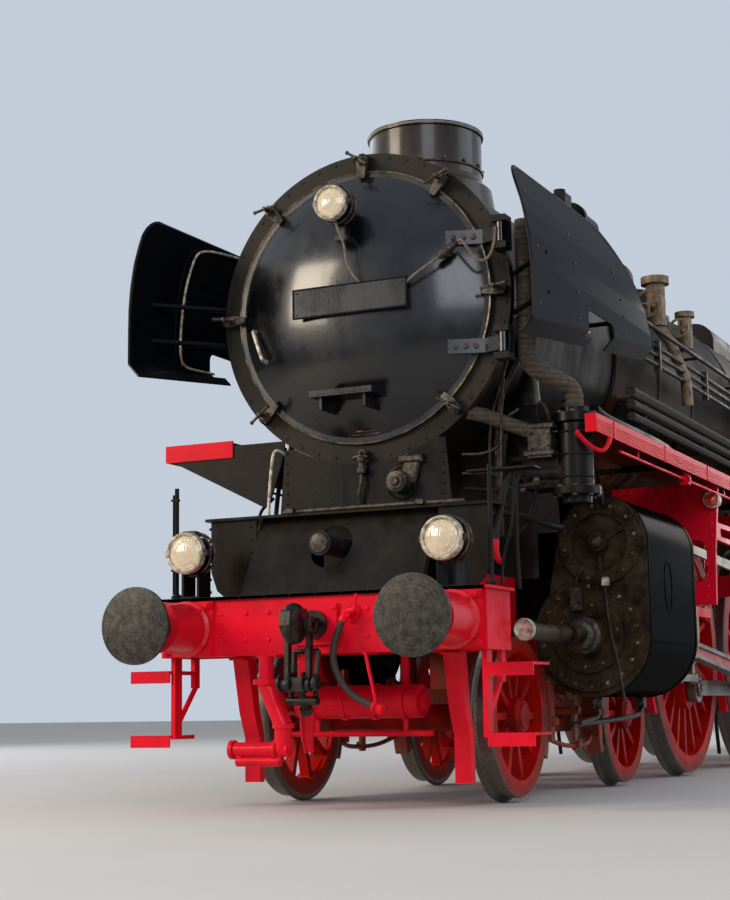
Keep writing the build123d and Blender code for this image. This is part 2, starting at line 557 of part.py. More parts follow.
def draw_gear():
    """Draw hook with its shackle links, the screw with its nut and handle, and the hanging bail."""
    y0 = BEAM_Y - 24 - FIT
    z = BUFFER_Z
    pin_y, nut_z, screw_y = y0 - 205, z - 350, y0 - 130
    shank = block((-36, 36), (y0 - 160, y0), (z - 36, z + 36))
    washer = bar((0, y0 - 34, z), (0, y0, z), 82)
    horn = outline([(y0 - 140, z - 66), (y0 - 240, z - 96), (y0 - 345, z - 84), (y0 - 386, z - 20), (y0 - 372, z + 62),
                    (y0 - 330, z + 74), (y0 - 322, z + 10), (y0 - 282, z - 8), (y0 - 246, z + 10),
                    (y0 - 226, z + 78), (y0 - 170, z + 84), (y0 - 140, z + 50)])
    hook = side_plate(fillet(horn.vertices(), 9), (-33, 33))
    pieces = [shank, washer, hook, bar((-92, pin_y, z - 24), (92, pin_y, z - 24), 26)]
    link = slab_between((pin_y, z - 24), (pin_y - 12, nut_z), 24, 20)
    eyes = Pos(pin_y, z - 24) * Circle(46) + Pos(pin_y - 12, nut_z) * Circle(42)
    pieces += both_sides(side_plate(link + eyes, (56, 82)))
    pieces.append(bar((-112, pin_y - 12, nut_z), (112, pin_y - 12, nut_z), 30))
    pieces.append(block((-50, 50), (pin_y - 52, pin_y + 30), (nut_z - 40, nut_z + 40)))
    low = (0, screw_y, nut_z - 130)
    pieces.append(bar((0, pin_y - 12, nut_z), low, 22))
    pieces.append(bar(low, (0, screw_y + 22, nut_z - 160), 38))
    pieces.append(bar((-96, screw_y - 30, nut_z - 92), (96, screw_y - 30, nut_z - 92), 26))
    for x in (-78, 78):
        pieces.append(bar((x, screw_y - 30, nut_z - 92), (x, screw_y + 16, nut_z + 190), 16))
    pieces.append(bar((-78, screw_y + 16, nut_z + 190), (78, screw_y + 16, nut_z + 190), 16))
    return fused(pieces)


HOSE_ROUTE = [(200, 545, 1058), (160, 528, 960), (150, 515, 830), (215, 503, 700), (300, 500, 618), (410, 500, 575)]
HOSE_RADIUS = 20.0
HOSE_BENDS = 160.0


def brake_hose():
    """The free brake hose, from the cock on the beam to the head in its holder."""
    return pipe(HOSE_ROUTE, HOSE_RADIUS, HOSE_BENDS)


def front_pipes():
    """The brake cock and the hose's holder, the jointed heating pipe and the brake pipe below the beam."""
    y0, foot = BEAM_Y - 18, BEAM_Z[0] - FIT
    start, end = Vector(*HOSE_ROUTE[0]), Vector(*HOSE_ROUTE[-1])
    first = (Vector(*HOSE_ROUTE[1]) - start).normalized()
    last = (end - Vector(*HOSE_ROUTE[-2])).normalized()
    neck = start - first * (24 + FIT)
    cock_x, cock_z = 230, 1112
    head = end + last * (70 + FIT)
    pieces = [
        bar((cock_x, BEAM_Y - FIT, cock_z), (cock_x, 530, cock_z), 30),
        bar((cock_x, BEAM_Y - FIT, cock_z), (cock_x, BEAM_Y - 20, cock_z), 56),
        bar(tuple(neck), tuple(start - first * FIT), 26),
        bar((cock_x, 545, cock_z), tuple(neck + first * 6), 24),
        bar((cock_x, 545, cock_z), (300, 520, cock_z + 12), 16),
        bar((296, 520, cock_z + 8), (314, 500, 1212), 9),
    ]
    holder = [
        block((330, 356), (540, 700), (foot - 12, foot)),
        bar((343, 552, foot - 4), (432, 501, 592), 11),
        bar(tuple(end + last * FIT), tuple(head), 30),
        bar(tuple(end + last * 14), tuple(end + last * 24), 38),
    ]
    x, y = -303, 550
    heating = [
        block((x - 70, x + 70), (y, 700), (foot - 14, foot)),
        bar((x, y, foot - 8), (x, y, 716), 44),
        bar((x, y, 738), (x, y, 706), 76),
        bar((x, y, 716), (-190, y, 466), 54),
        bar((-190, y, 466), (-196, y, 330), 50),
        bar((-190, y, 480), (-190, y, 452), 64),
        bar((-150, y, 330), (-519, y, 330), 44),
        bar((-540, y, 330), (-515, y, 330), 56),
        bar((-228, y, 330), (-252, y, 330), 56),
        bar((-215, y, 262), (-500, y, 262), 30),
        block((-240, -200), (y - 25, y + 25), (262, 330)),
        block((-500, -460), (y - 25, y + 25), (262, 330)),
    ]
    z0, z1 = 640, 369
    profile = turned_z([(0, z1), (36, z1), (42, z1 + 60), (54, z0), (54, foot), (0, foot)])
    brake_pipe = [Pos(-112, 700, 0) * profile, bar((-112, 700, z1 + 4), (-100, 700, z1 - 60), 30)]
    return fused([fused(pieces), fused(holder), fused(heating), fused(brake_pipe)])


SADDLE_Z = (1640.0, 2150.0)
LEDGE_Z = (1745.0, 1763.0)


def front_apron():
    """The sloping apron over the middle cylinder, the ledge above it and the two end boxes."""
    deck = BEAM_Z[1] + 16 + FIT
    lip = 12.0
    slope = outline([(760, deck), (780, deck), (1090, LEDGE_Z[0] + 2), (1070, LEDGE_Z[0] + 2)])
    pieces = [side_plate(slope, (-600, 600))]
    pieces.append(block((-980, 980), (985, 1300), LEDGE_Z))
    for x0, x1 in ((-950, -620), (620, 950)):
        outer = x0 if x0 < 0 else x1
        inner = x1 if x0 < 0 else x0
        face = outline([(inner, deck), (outer * 0.86, deck), (outer * 0.955, deck + 70), (outer, deck + 190),
                        (outer, LEDGE_Z[0] + 2), (inner, LEDGE_Z[0] + 2)])
        pieces.append(cross_plate(face, (1010, 1026)))
    for x in (-612, 600):
        cheek = outline([(770, deck), (1300, deck), (1300, LEDGE_Z[0] + 2), (1082, LEDGE_Z[0] + 2)])
        pieces.append(side_plate(cheek, (x, x + lip)))
    floor = block((-600, 600), (770, 990), (deck, deck + 10))
    front_plate = outline([(-560, 2215), (-600, LEDGE_Z[1] - 2), (600, LEDGE_Z[1] - 2), (560, 2215)])
    shell = cross_plate(front_plate, (1285, 1303)) - bar(
        (0, 1200, BOILER_Z), (0, 1400, BOILER_Z), RING_RADIUS + FIT)
    solid = fused(pieces + [floor, shell])
    for radius, x in ((76 + 60, INSIDE_TAIL_X),):
        solid -= bar((x, 600, 1548), (x, 1200, 1530), radius)
    return solid


def smokebox():
    """The smokebox shell behind its ring, the front plate that the door shuts on, and the saddle below."""
    y0, y1 = SMOKEBOX_Y
    shell_front = y0 + FRONT_PLATE + FIT
    shell = bar((0, shell_front, BOILER_Z), (0, y1 - FIT, BOILER_Z), SMOKEBOX_RADIUS)
    ring = bar((0, shell_front, BOILER_Z), (0, y0 + 60, BOILER_Z), RING_RADIUS)
    plate = bar((0, y0, BOILER_Z), (0, y0 + FRONT_PLATE, BOILER_Z), RING_RADIUS)
    plate -= bar((0, y0 - 1, BOILER_Z), (0, y0 + FRONT_PLATE + 1, BOILER_Z), DOOR_SEAT_RADIUS)
    saddle_face = outline([(-560, SADDLE_Z[0]), (560, SADDLE_Z[0]), (700, SADDLE_Z[1] + 250),
                           (-700, SADDLE_Z[1] + 250)])
    saddle = cross_plate(saddle_face, (1910, 3300)) - bar((0, y0, BOILER_Z), (0, y1, BOILER_Z), SMOKEBOX_RADIUS + FIT)
    cavity = bar((0, y0 - 1, BOILER_Z), (0, y1 - 60, BOILER_Z), SMOKEBOX_RADIUS - SMOKEBOX_WALL)
    return fused([fused([shell, ring]) - cavity, saddle, plate])


def smokebox_door():
    """The dished door on two strap hinges, with a step, a grip and a seat for the top lamp."""
    back = SMOKEBOX_Y[0] - FIT
    rim = 26.0
    profile = make_face([
        Polyline((0, back - 10), (0, back - rim - DOOR_BULGE)),
        ThreePointArc((0, back - rim - DOOR_BULGE), (DOOR_RADIUS * 0.56, back - rim - DOOR_BULGE * 0.72),
                      (DOOR_RADIUS - 40, back - rim)),
        Polyline((DOOR_RADIUS - 40, back - rim), (DOOR_RADIUS, back - rim), (DOOR_RADIUS, back),
                 (DOOR_RADIUS - 60, back), (DOOR_RADIUS - 80, back - 10), (0, back - 10)),
    ])
    solid = Pos(0, 0, BOILER_Z) * turned_y(profile)
    for z in (BOILER_Z + DOOR_STRAP_RISE, BOILER_Z - DOOR_STRAP_RISE):
        strap_face = outline([
            (DOOR_HINGE_X, DOOR_HINGE_Y - 30), (DOOR_RADIUS - 40, back - rim - 14), (630, back - rim - 88),
            (630, back - rim - 40), (DOOR_RADIUS - 70, back - 12), (DOOR_HINGE_X, DOOR_HINGE_Y + 30)])
        solid += Pos(0, 0, z - 45) * extrude(strap_face, amount=90)
        solid += bar((DOOR_HINGE_X, DOOR_HINGE_Y, z - 60), (DOOR_HINGE_X, DOOR_HINGE_Y, z + 60), 36)
    for z in (BOILER_Z + DOOR_STRAP_RISE, BOILER_Z - DOOR_STRAP_RISE):
        solid -= bar((DOOR_HINGE_X, DOOR_HINGE_Y, z - 61), (DOOR_HINGE_X, DOOR_HINGE_Y, z + 61), 18 + FIT)
    step = block((-215, 215), (960, 1190), (2478, 2490))
    brackets = [block((x - 8, x + 8), (990, 1235), (2400, 2480)) for x in (-150, 150)]
    grip = bar((-735, 1180, 3000), (-650, 1150, 2790), 10)
    posts = [bar((-735, 1180, 3000), (-735, 1295, 3000), 10), bar((-650, 1150, 2790), (-650, 1290, 2790), 10)]
    plate = block((-365, 432), (1036, 1048), (3004, 3196))
    plate_posts = [block((x - 20, x + 20), (1044, 1150), (3075, 3135)) for x in (-280, 340)]
    lamp_foot = block((-46, 46), (1000, 1200), (3470, 3500))
    lamp_stem = block((-24, 24), (1010, 1050), (3495, 3560))
    return fused([solid, step, grip, plate, lamp_foot, lamp_stem] + brackets + posts + plate_posts)


DOOR_STRAP_RISE = 345.0


def door_hinges():
    """The lugs and pins on the smokebox that carry the door, and the clamps round its ring."""
    pieces = []
    back = SMOKEBOX_Y[0]
    for z in (BOILER_Z + DOOR_STRAP_RISE, BOILER_Z - DOOR_STRAP_RISE):
        for low in (z - 60 - 5 - 40, z + 60 + 5):
            lug = block((DOOR_HINGE_X - 55, DOOR_HINGE_X + 40), (DOOR_HINGE_Y - 38, back - FIT), (low, low + 40))
            pieces.append(lug)
        pieces.append(bar((DOOR_HINGE_X, DOOR_HINGE_Y, z - 112), (DOOR_HINGE_X, DOOR_HINGE_Y, z + 112), 18))
        tail = block((DOOR_HINGE_X + 16, DOOR_HINGE_X + 40), (DOOR_HINGE_Y + 44, back - FIT), (z - 105, z + 105))
        pieces.append(tail)
    for degrees in DOOR_CLAMP_DEG:
        clamp = [block((DOOR_RADIUS + 16, RING_RADIUS - 12), (back - 62, back - FIT), (-17, 17)),
                 block((DOOR_RADIUS + 10, RING_RADIUS - 30), (back - 60, back - 38), (-22, 22)),
                 bar((DOOR_RADIUS + 60, back - 96, 0), (DOOR_RADIUS + 60, back - 50, 0), 15)]
        pieces += [Pos(0, 0, BOILER_Z) * Rot(0, -degrees, 0) * piece for piece in clamp]
    return fused(pieces)


DOOR_CLAMP_DEG = (0, 52, 88, 132, 180, 224, 312)


def chimney():
    """The wide chimney on its flared skirt, with a rolled lip."""
    r = CHIMNEY_RADIUS
    base = BOILER_Z + SMOKEBOX_RADIUS - 110
    top = CHIMNEY_TOP_Z
    shape = turned_z([(r - 22, base), (r + 90, base), (r + 66, base + 150), (r + 12, base + 200), (r, base + 235),
                      (r, top - 34), (r + 14, top - 28), (r + 14, top), (r - 22, top)])
    solid = Pos(0, CHIMNEY_Y, 0) * shape
    return solid - bar((0, 1000, BOILER_Z), (0, 4000, BOILER_Z), SMOKEBOX_RADIUS + FIT)


def barrel_radius(y):
    """The barrel's radius at a place along it."""
    front, rear = BARREL_RADIUS
    start, end = BARREL_CONE_Y
    return front + (rear - front) * min(max((y - start) / (end - start), 0), 1)


def barrel_shape(clearance=0.0):
    """The barrel with its cone and bands, grown by a clearance."""
    y0, y1 = SMOKEBOX_Y[1], FIREBOX_Y[0] - FIT
    front, rear = BARREL_RADIUS[0] + clearance, BARREL_RADIUS[1] + clearance
    profile = [(0, y0), (front, y0), (front, BARREL_CONE_Y[0]), (rear, BARREL_CONE_Y[1]), (rear, y1), (0, y1)]
    pieces = [Pos(0, 0, BOILER_Z) * turned_y(outline(profile))]
    for y in BAND_Y:
        radius = max(barrel_radius(y), barrel_radius(y + BAND_WIDTH)) + BAND_RISE + clearance
        pieces.append(bar((0, y - clearance, BOILER_Z), (0, y + BAND_WIDTH + clearance, BOILER_Z), radius))
    return fused(pieces)


def firebox():
    """The firebox casing: round above, with sides that taper to the foundation ring and a raised front foot."""
    r = BARREL_RADIUS[1]
    low = outline([(-r, BOILER_Z), (-FIREBOX_HALF_BASE, MUD_RING_Z), (FIREBOX_HALF_BASE, MUD_RING_Z), (r, BOILER_Z)])
    face = Pos(0, BOILER_Z) * Circle(r) + low
    solid = cross_plate(face, FIREBOX_Y)
    solid -= block((-1200, 1200), (FIREBOX_Y[0] - 1, 11480), (1000, 2100))
    ring = block((-FIREBOX_HALF_BASE - 14, FIREBOX_HALF_BASE + 14), (11480, FIREBOX_Y[1]), (MUD_RING_Z - 30, MUD_RING_Z + 70))
    return fused([solid, ring])


def ashpan():
    """The hopper below the firebox, wide above the frames and narrow between them."""
    top = MUD_RING_Z - 30 - FIT
    wide = block((-940, 940), (11560, 13380), (1570, top))
    hopper_face = outline([(11660, 1571), (13320, 1571), (13100, 820), (11760, 820)])
    narrow = side_plate(hopper_face, (-FRAME_X[0] + 12, FRAME_X[0] - 12))
    narrow -= block((-700, 700), (TRUCK_PIVOT_Y - 320, TRUCK_PIVOT_Y + 320), (800, 1450))
    return fused([wide, narrow])


def boiler_mounts():
    """Steam dome, two sand boxes and the safety valves along the top."""
    top = BOILER_Z + BARREL_RADIUS[1]
    dome = turned_z([(0, top - 260), (400, top - 260), (372, top + 40), (340, top + 60), (340, top + 210),
                     (300, top + 272), (200, top + 306), (0, top + 318)])
    pieces = [Pos(0, 7300, 0) * Rot(0, 0, 35) * dome]
    for y in (5450, 9150):
        box = Pos(0, y, top - 20) * Box(900, 900, 560)
        box = fillet(box.edges().filter_by(Axis.Y).group_by(Axis.Z)[-1], 200)
        pieces.append(box)
        for x in (-180, 180):
            pieces.append(bar((x, y, top + 240), (x, y, top + 290), 110))
    for x in (-140, 140):
        pieces.append(bar((x, 10350, top - 100), (x, 10350, top + 230), 62))
        pieces.append(bar((x, 10350, top + 225), (x, 10350, top + 265), 80))
    return fused([piece - boiler_envelope() for piece in pieces])


# Sheet work along the sides

DEFLECTOR_THICKNESS = 8.0
DEFLECTOR_BEND = ((690.0, 2752.0), (3140.0, 3035.0))


def smoke_deflectors():
    """Two wing plates beside the smokebox: bent in at the top, with a skirt turned in below."""
    t = DEFLECTOR_THICKNESS
    spine = [(1228, 3740), (1262, 3645), (1303, 3530), (1338, 3410), (1364, 3260), (1376, 3110), (1376, 2700)]
    inner = [(x - t, z) for x, z in spine]
    sheet = cross_plate(outline(spine + inner[::-1]), (500, 3300))
    low, high = DEFLECTOR_BEND
    side_view = make_face([
        Polyline(low, (low[0], 3560)),
        ThreePointArc((low[0], 3560), (736, 3672), (860, 3715)),
        Polyline((860, 3715), (2120, 3732)),
        ThreePointArc((2120, 3732), (2740, 3585), (3035, 3250)),
        Polyline((3035, 3250), high, low),
    ])
    plate = sheet & side_plate(side_view, (1000, 1600))
    skirt_face = outline([(1376, low[1]), (1300, low[1] - 84), (1300 - t, low[1] - 78), (1376 - t, low[1] + 6)])
    along = Vector(0, high[0] - low[0], high[1] - low[1])
    skirt = extrude(Pos(0, low[0], 0) * (Plane.XZ * skirt_face), amount=along.length, dir=along.normalized())
    notch = block((1200, 1400), (1700, 2230), (2600, 3010)) - block((1200, 1340), (1700, 1860), (2600, 3010))
    plate = fused([plate, skirt]) - fillet(notch.edges().filter_by(Axis.X).group_by(Axis.Z)[-1], 50)
    stays = []
    for x, y, z in ((1364, 950, 3200), (1372, 950, 2960), (1336, 2150, 3400), (1372, 2450, 3080)):
        reach = SMOKEBOX_RADIUS if y > SMOKEBOX_Y[0] + 60 else RING_RADIUS
        rise = z - BOILER_Z
        foot_x = math.sqrt((reach + 2) ** 2 - rise ** 2) if y > SMOKEBOX_Y[0] else 940
        end_y = y if y > SMOKEBOX_Y[0] else SMOKEBOX_Y[0] + 120
        stays.append(bar((foot_x, end_y, z), (x, y, z), 16))
    solid = fused([plate] + stays) - bar((0, 1000, BOILER_Z), (0, 4000, BOILER_Z), SMOKEBOX_RADIUS + FIT)
    solid -= bar((0, SMOKEBOX_Y[0] - 1, BOILER_Z), (0, SMOKEBOX_Y[0] + 61, BOILER_Z), RING_RADIUS + FIT)
    return fused(both_sides(solid))


PUMP_STRIP_X = 1400.0
PUMP_STRIP_END = 2060.0
BOARD_BRACKET_Y = (3700, 5250, 6500, 7700, 9600, 10700, 11900)


def running_board(side):
    """The footplate along the boiler with its deep edge strip and the brackets to the boiler."""
    y0, y1 = BOARD_FRONT_Y[side], CAB_Y[0] - FIT
    x0, x1 = BOARD_X
    plate = block((x0, x1), (y0, y1), BOARD_Z)
    if side == "right":
        plate -= block((x0 - 1, x1 - 30), (3790, 4330), (2200, 2400))
    else:
        plate -= block((x0 - 1, PUMP_STRIP_X), (y0 - 1, PUMP_STRIP_END), (2200, 2400))
    firebox_side = block((x0 - 1, BARREL_RADIUS[1] + 24), (FIREBOX_Y[0] - 200, y1 + 1), (2200, 2400))
    edge = block((x1 - 12, x1), (y0, y1), (BOARD_Z[0] - 80, BOARD_Z[1] + 12))
    front_x = x0 if side == "right" else PUMP_STRIP_X
    front = block((front_x, x1), (y0, y0 + 12), (BOARD_Z[0] - 80, BOARD_Z[1] + 12))
    brackets = []
    if side == "right":
        gusset = outline([(1400, BOARD_Z[0]), (580, BOARD_Z[0]), (580, 2200), (700, 1860), (740, 1860), (1400, 2190)])
        gusset_plate = cross_plate(gusset, (y0 + 12, y0 + 26))
    else:
        gusset_plate = front
    for y in BOARD_BRACKET_Y:
        inner = 560 if y < FIREBOX_Y[0] else 1000
        top = BOARD_Z[0] - FIT
        face = outline([(inner, top), (inner, top - 40), (x1 - 13, top - 40), (x1 - 13, top)])
        brackets.append(cross_plate(face, (y - 8, y + 8)))
    pieces = [fused([plate - firebox_side, edge, front, gusset_plate])] + brackets
    steam_pipe = bar(*STEAM_PIPE, STEAM_PIPE_RADIUS + 6)
    return on_side(fused([piece - boiler_envelope() - steam_pipe for piece in pieces]), side)


def handrails():
    """Rails along the boiler on knobs, and the upright rails on the front deck."""
    pieces = []
    r = BARREL_RADIUS[1]
    z = BOILER_Z + 250
    x = r + 95
    rail = bar((x, 3600, z), (x, CAB_Y[0] - FIT, z), 17)
    knobs = []
    for y in (3750, 5200, 6650, 8100, 9550, 11000, 12450):
        knobs.append(bar((900, y, z), (x, y, z), 13))
    shape = fused([rail] + knobs) - boiler_envelope()
    pieces += both_sides(shape)
    deck = BEAM_Z[1] + 16 + FIT
    post = fused([bar((1050, 760, deck), (1050, 760, 1940), 14), bar((1050, 760, deck), (1050, 760, deck + 20), 32)])
    pieces += both_sides(post)
    return fused(pieces)


# Cab


def roof_face(inset):
    """The arched roof's outer or inner line as a closed face down to the eaves."""
    half = CAB_HALF_WIDTH + 25 - inset
    return make_face([
        ThreePointArc((-half, EAVE_Z), (0, EAVE_Z + ROOF_RISE - inset), (half, EAVE_Z)),
        Line((half, EAVE_Z), (-half, EAVE_Z)),
    ])


def cab_roof():
    """The arched roof with its ventilator and rain strips."""
    roof = cross_plate(roof_face(0) - roof_face(CAB_WALL), ROOF_Y)
    peak = EAVE_Z + ROOF_RISE
    vent = Pos(0, 14300, peak - 10) * Box(1250, 1300, 130)
    vent_top = Pos(0, 14300, peak + 70) * Box(1350, 1420, 34)
    void = cross_plate(roof_face(CAB_WALL), (ROOF_Y[0] - 1, ROOF_Y[1] + 1))
    opening = Pos(0, 14300, peak - 60) * Box(1100, 1150, 200)
    return fused([roof, vent - void, vent_top]) - opening


def cab_section(inset):
    """The cab's inside or outside shape across the engine, from its foot to the roof."""
    half = CAB_HALF_WIDTH - inset
    return outline([(-half, CAB_SIDE_FOOT_Z), (half, CAB_SIDE_FOOT_Z), (half, EAVE_Z - FIT), (-half, EAVE_Z - FIT)]) + (
        roof_face(CAB_WALL + FIT))


def cab_front():
    """The cab's front wall, cut to the firebox, with its two lookout windows."""
    y = (CAB_Y[0], CAB_Y[0] + CAB_WALL)
    face = cab_section(CAB_WALL + FIT) - Pos(0, 1600) * Rectangle(4000, 200 - 2 * FIT + 0.0)
    firebox_face = Pos(0, BOILER_Z) * Circle(BARREL_RADIUS[1] + FIT) + outline([
        (-BARREL_RADIUS[1] - FIT, BOILER_Z), (-FIREBOX_HALF_BASE - 14 - FIT, CAB_SIDE_FOOT_Z - 1),
        (FIREBOX_HALF_BASE + 14 + FIT, CAB_SIDE_FOOT_Z - 1), (BARREL_RADIUS[1] + FIT, BOILER_Z)])
    for x in (-1290, 1290):
        face -= Pos(x, 3120) * RectangleRounded(250, 560, 40)
    wall = cross_plate(face - firebox_face, y)
    return wall - block((-2000, 2000), (y[0] - 1, y[1] + 1), (1000, CAB_FLOOR_Z[0] - 5))


def cab_side(side):
    """A cab side with two windows and the doorway's front edge."""
    x = (CAB_HALF_WIDTH - CAB_WALL, CAB_HALF_WIDTH)
    face = outline([(CAB_Y[0], 1560), (13300, CAB_SIDE_FOOT_Z), (DOORWAY_Y[0], CAB_SIDE_FOOT_Z),
                    (DOORWAY_Y[0], EAVE_Z - FIT), (CAB_Y[0], EAVE_Z - FIT)])
    for y in CAB_WINDOW_Y:
        face -= Pos(y, CAB_WINDOW_Z) * RectangleRounded(*CAB_WINDOW, 60)
    lintel = block(x, (DOORWAY_Y[0] - 1, CAB_Y[1]), (3380, EAVE_Z - FIT))
    post = block(x, (DOORWAY_Y[1], CAB_Y[1]), (CAB_SIDE_FOOT_Z, EAVE_Z - FIT))
    return on_side(fused([side_plate(face, x), lintel, post]), side)


CAB_WINDOW = (700.0, 640.0)
CAB_WINDOW_Y = (13560.0, 14480.0)
CAB_WINDOW_Z = 3010.0


def cab_back():
    """The cab's rear wall: a panel with a window each side of the gangway, and the header over it."""
    y = (CAB_Y[1] - CAB_WALL, CAB_Y[1])
    face = cab_section(CAB_WALL + FIT)
    face -= Pos(0, 2620) * Rectangle(1100, 1758)
    for x in (-1020, 1020):
        face -= Pos(x, 3010) * RectangleRounded(420, 460, 40)
    for x in (-550, 550):
        face -= Pos(x, 4000) * Rectangle(FIT, 1002)
    return cross_plate(face, y) - block((-2000, 2000), (y[0] - 1, y[1] + 1), (1000, CAB_FLOOR_Z[1] + FIT))


def cab_floor():
    """Floor plate on its bearers, cut round the firebox, and the reach to the drag box."""
    inner = CAB_HALF_WIDTH - CAB_WALL - FIT
    floor = block((-inner, inner), (FIREBOX_Y[1] + FIT, CAB_Y[1]), CAB_FLOOR_Z)
    wings = [side for wing in (block((FIREBOX_HALF_BASE + 14 + FIT, inner), (CAB_Y[0] + CAB_WALL + FIT, FIREBOX_Y[1] + 1),
                                     CAB_FLOOR_Z),) for side in both_sides(wing)]
    bearers = [block((-1300, 1300), (y, y + 30), (1565 + FIT, CAB_FLOOR_Z[0])) for y in (13900, 14700, 15560)]
    return fused([floor] + wings + bearers)


def cab_fittings():
    """Fire door, regulator, two seats, brake stand and wheel for the reverser."""
    y = FIREBOX_Y[1] + FIT
    door = bar((0, y, 2350), (0, y + 60, 2350), 260)
    frame = block((-340, 340), (y, y + 30), (2060, 2640))
    column = block((-60, 60), (y, y + 90), (3000, 3900))
    regulator = bar((-60, y + 60, 3500), (760, y + 150, 3400), 22)
    gauge_board = block((-700, 700), (y, y + 50), (3560, 3640))
    gauges = [bar((x, y + 50, 3600), (x, y + 110, 3600), 100) for x in (-560, -300, 300, 560)]
    glasses = [block((x - 26, x + 26), (y, y + 110), (2900, 3330)) for x in (-330, 330)]
    pieces = [door, frame, column, regulator, gauge_board] + gauges + glasses
    seats = []
    for x in (-1220, 1220):
        seats.append(block((x - 210, x + 210), (14500, 14880), (2330, 2420)))
        seats.append(block((x - 30, x + 30), (14660, 14720), (CAB_FLOOR_Z[1] + FIT, 2335)))
    reverser = [bar((-1150, 14050, CAB_FLOOR_Z[1] + FIT), (-1150, 14050, 2650), 55),
                bar((-1150, 14050, 2600), (-1150, 14140, 2600), 40),
                bar((-1150, 14120, 2600), (-1150, 14160, 2600), 270) - bar(
                    (-1150, 14110, 2600), (-1150, 14170, 2600), 235),
                block((-1400, -900), (14125, 14155), (2588, 2612)),
                block((-1162, -1138), (14125, 14155), (2350, 2850))]
    return fused([fused(pieces)] + seats + reverser)


def cab_glass():
    """Window panes set in the sides, front and back walls."""
    pieces = []
    x = CAB_HALF_WIDTH - CAB_WALL / 2
    for y in CAB_WINDOW_Y:
        w, h = CAB_WINDOW
        pieces += both_sides(side_plate(Pos(y, CAB_WINDOW_Z) * RectangleRounded(w - 2 * FIT, h - 2 * FIT, 60), (x - 3, x + 3)))
    for x0, z0, w, h, y in ((1290, 3120, 250, 560, CAB_Y[0] + CAB_WALL / 2),
                            (1020, 3010, 420, 460, CAB_Y[1] - CAB_WALL / 2)):
        face = Pos(x0, z0) * RectangleRounded(w - 2 * FIT, h - 2 * FIT, 40)
        pieces += both_sides(cross_plate(face, (y - 3, y + 3)))
    return fused(pieces)


CAB_DOOR_GAP = 6.0
CAB_DOOR_TOP_Z = 2950.0
CAB_DOOR_PIN_RADIUS = 10.0
CAB_DOOR_LUG_RADIUS = 16.0
CAB_DOOR_PIN_INSET = 22.0


def cab_door(side):
    """A half-height cab door with its hinge barrels and a handle, hung on the doorway's front edge."""
    x = (CAB_HALF_WIDTH - CAB_WALL, CAB_HALF_WIDTH - 12)
    y0, y1 = DOORWAY_Y[0] + 2 * CAB_DOOR_PIN_INSET, DOORWAY_Y[1] - CAB_DOOR_GAP
    leaf = side_plate(Pos((y0 + y1) / 2, (CAB_FLOOR_Z[1] + 10 + CAB_DOOR_TOP_Z) / 2) * RectangleRounded(
        y1 - y0, CAB_DOOR_TOP_Z - CAB_FLOOR_Z[1] - 10, 30), x)
    pin_y = DOORWAY_Y[0] + CAB_DOOR_PIN_INSET
    pin_x = CAB_HALF_WIDTH - CAB_WALL + 2
    barrels = []
    for z in CAB_DOOR_HINGE_Z:
        barrel = fused([bar((pin_x, pin_y, z - 50), (pin_x, pin_y, z + 50), CAB_DOOR_LUG_RADIUS),
                        block((pin_x - 6, pin_x + 8), (pin_y, y0 + 30), (z - 50, z + 50))])
        barrels.append(barrel - bar((pin_x, pin_y, z - 51), (pin_x, pin_y, z + 51), CAB_DOOR_PIN_RADIUS + FIT))
    handle = fused([bar((x[0] - 45, y1 - 90, 2350), (x[0] - 45, y1 - 90, 2550), 9),
                    bar((x[0] - 45, y1 - 90, 2360), (x[0] + 5, y1 - 90, 2360), 8),
                    bar((x[0] - 45, y1 - 90, 2540), (x[0] + 5, y1 - 90, 2540), 8)])
    return on_side(fused([leaf, handle] + barrels), side)


CAB_DOOR_HINGE_Z = (1950.0, 2750.0)


def cab_door_pins():
    """The fixed pins and lugs that carry both cab doors."""
    pin_y, pin_x = DOORWAY_Y[0] + CAB_DOOR_PIN_INSET, CAB_HALF_WIDTH - CAB_WALL + 2
    pieces = []
    for z in CAB_DOOR_HINGE_Z:
        pieces.append(bar((pin_x, pin_y, z - 82), (pin_x, pin_y, z + 82), CAB_DOOR_PIN_RADIUS))
        for low in (z - 82, z + 52):
            pieces.append(bar((pin_x, pin_y, low), (pin_x, pin_y, low + 30), CAB_DOOR_LUG_RADIUS))
            pieces.append(block((pin_x + 1, pin_x + 12), (DOORWAY_Y[0] + FIT, pin_y), (low, low + 30)))
    return fused(both_sides(fused(pieces)))


# Bogie and trailing truck


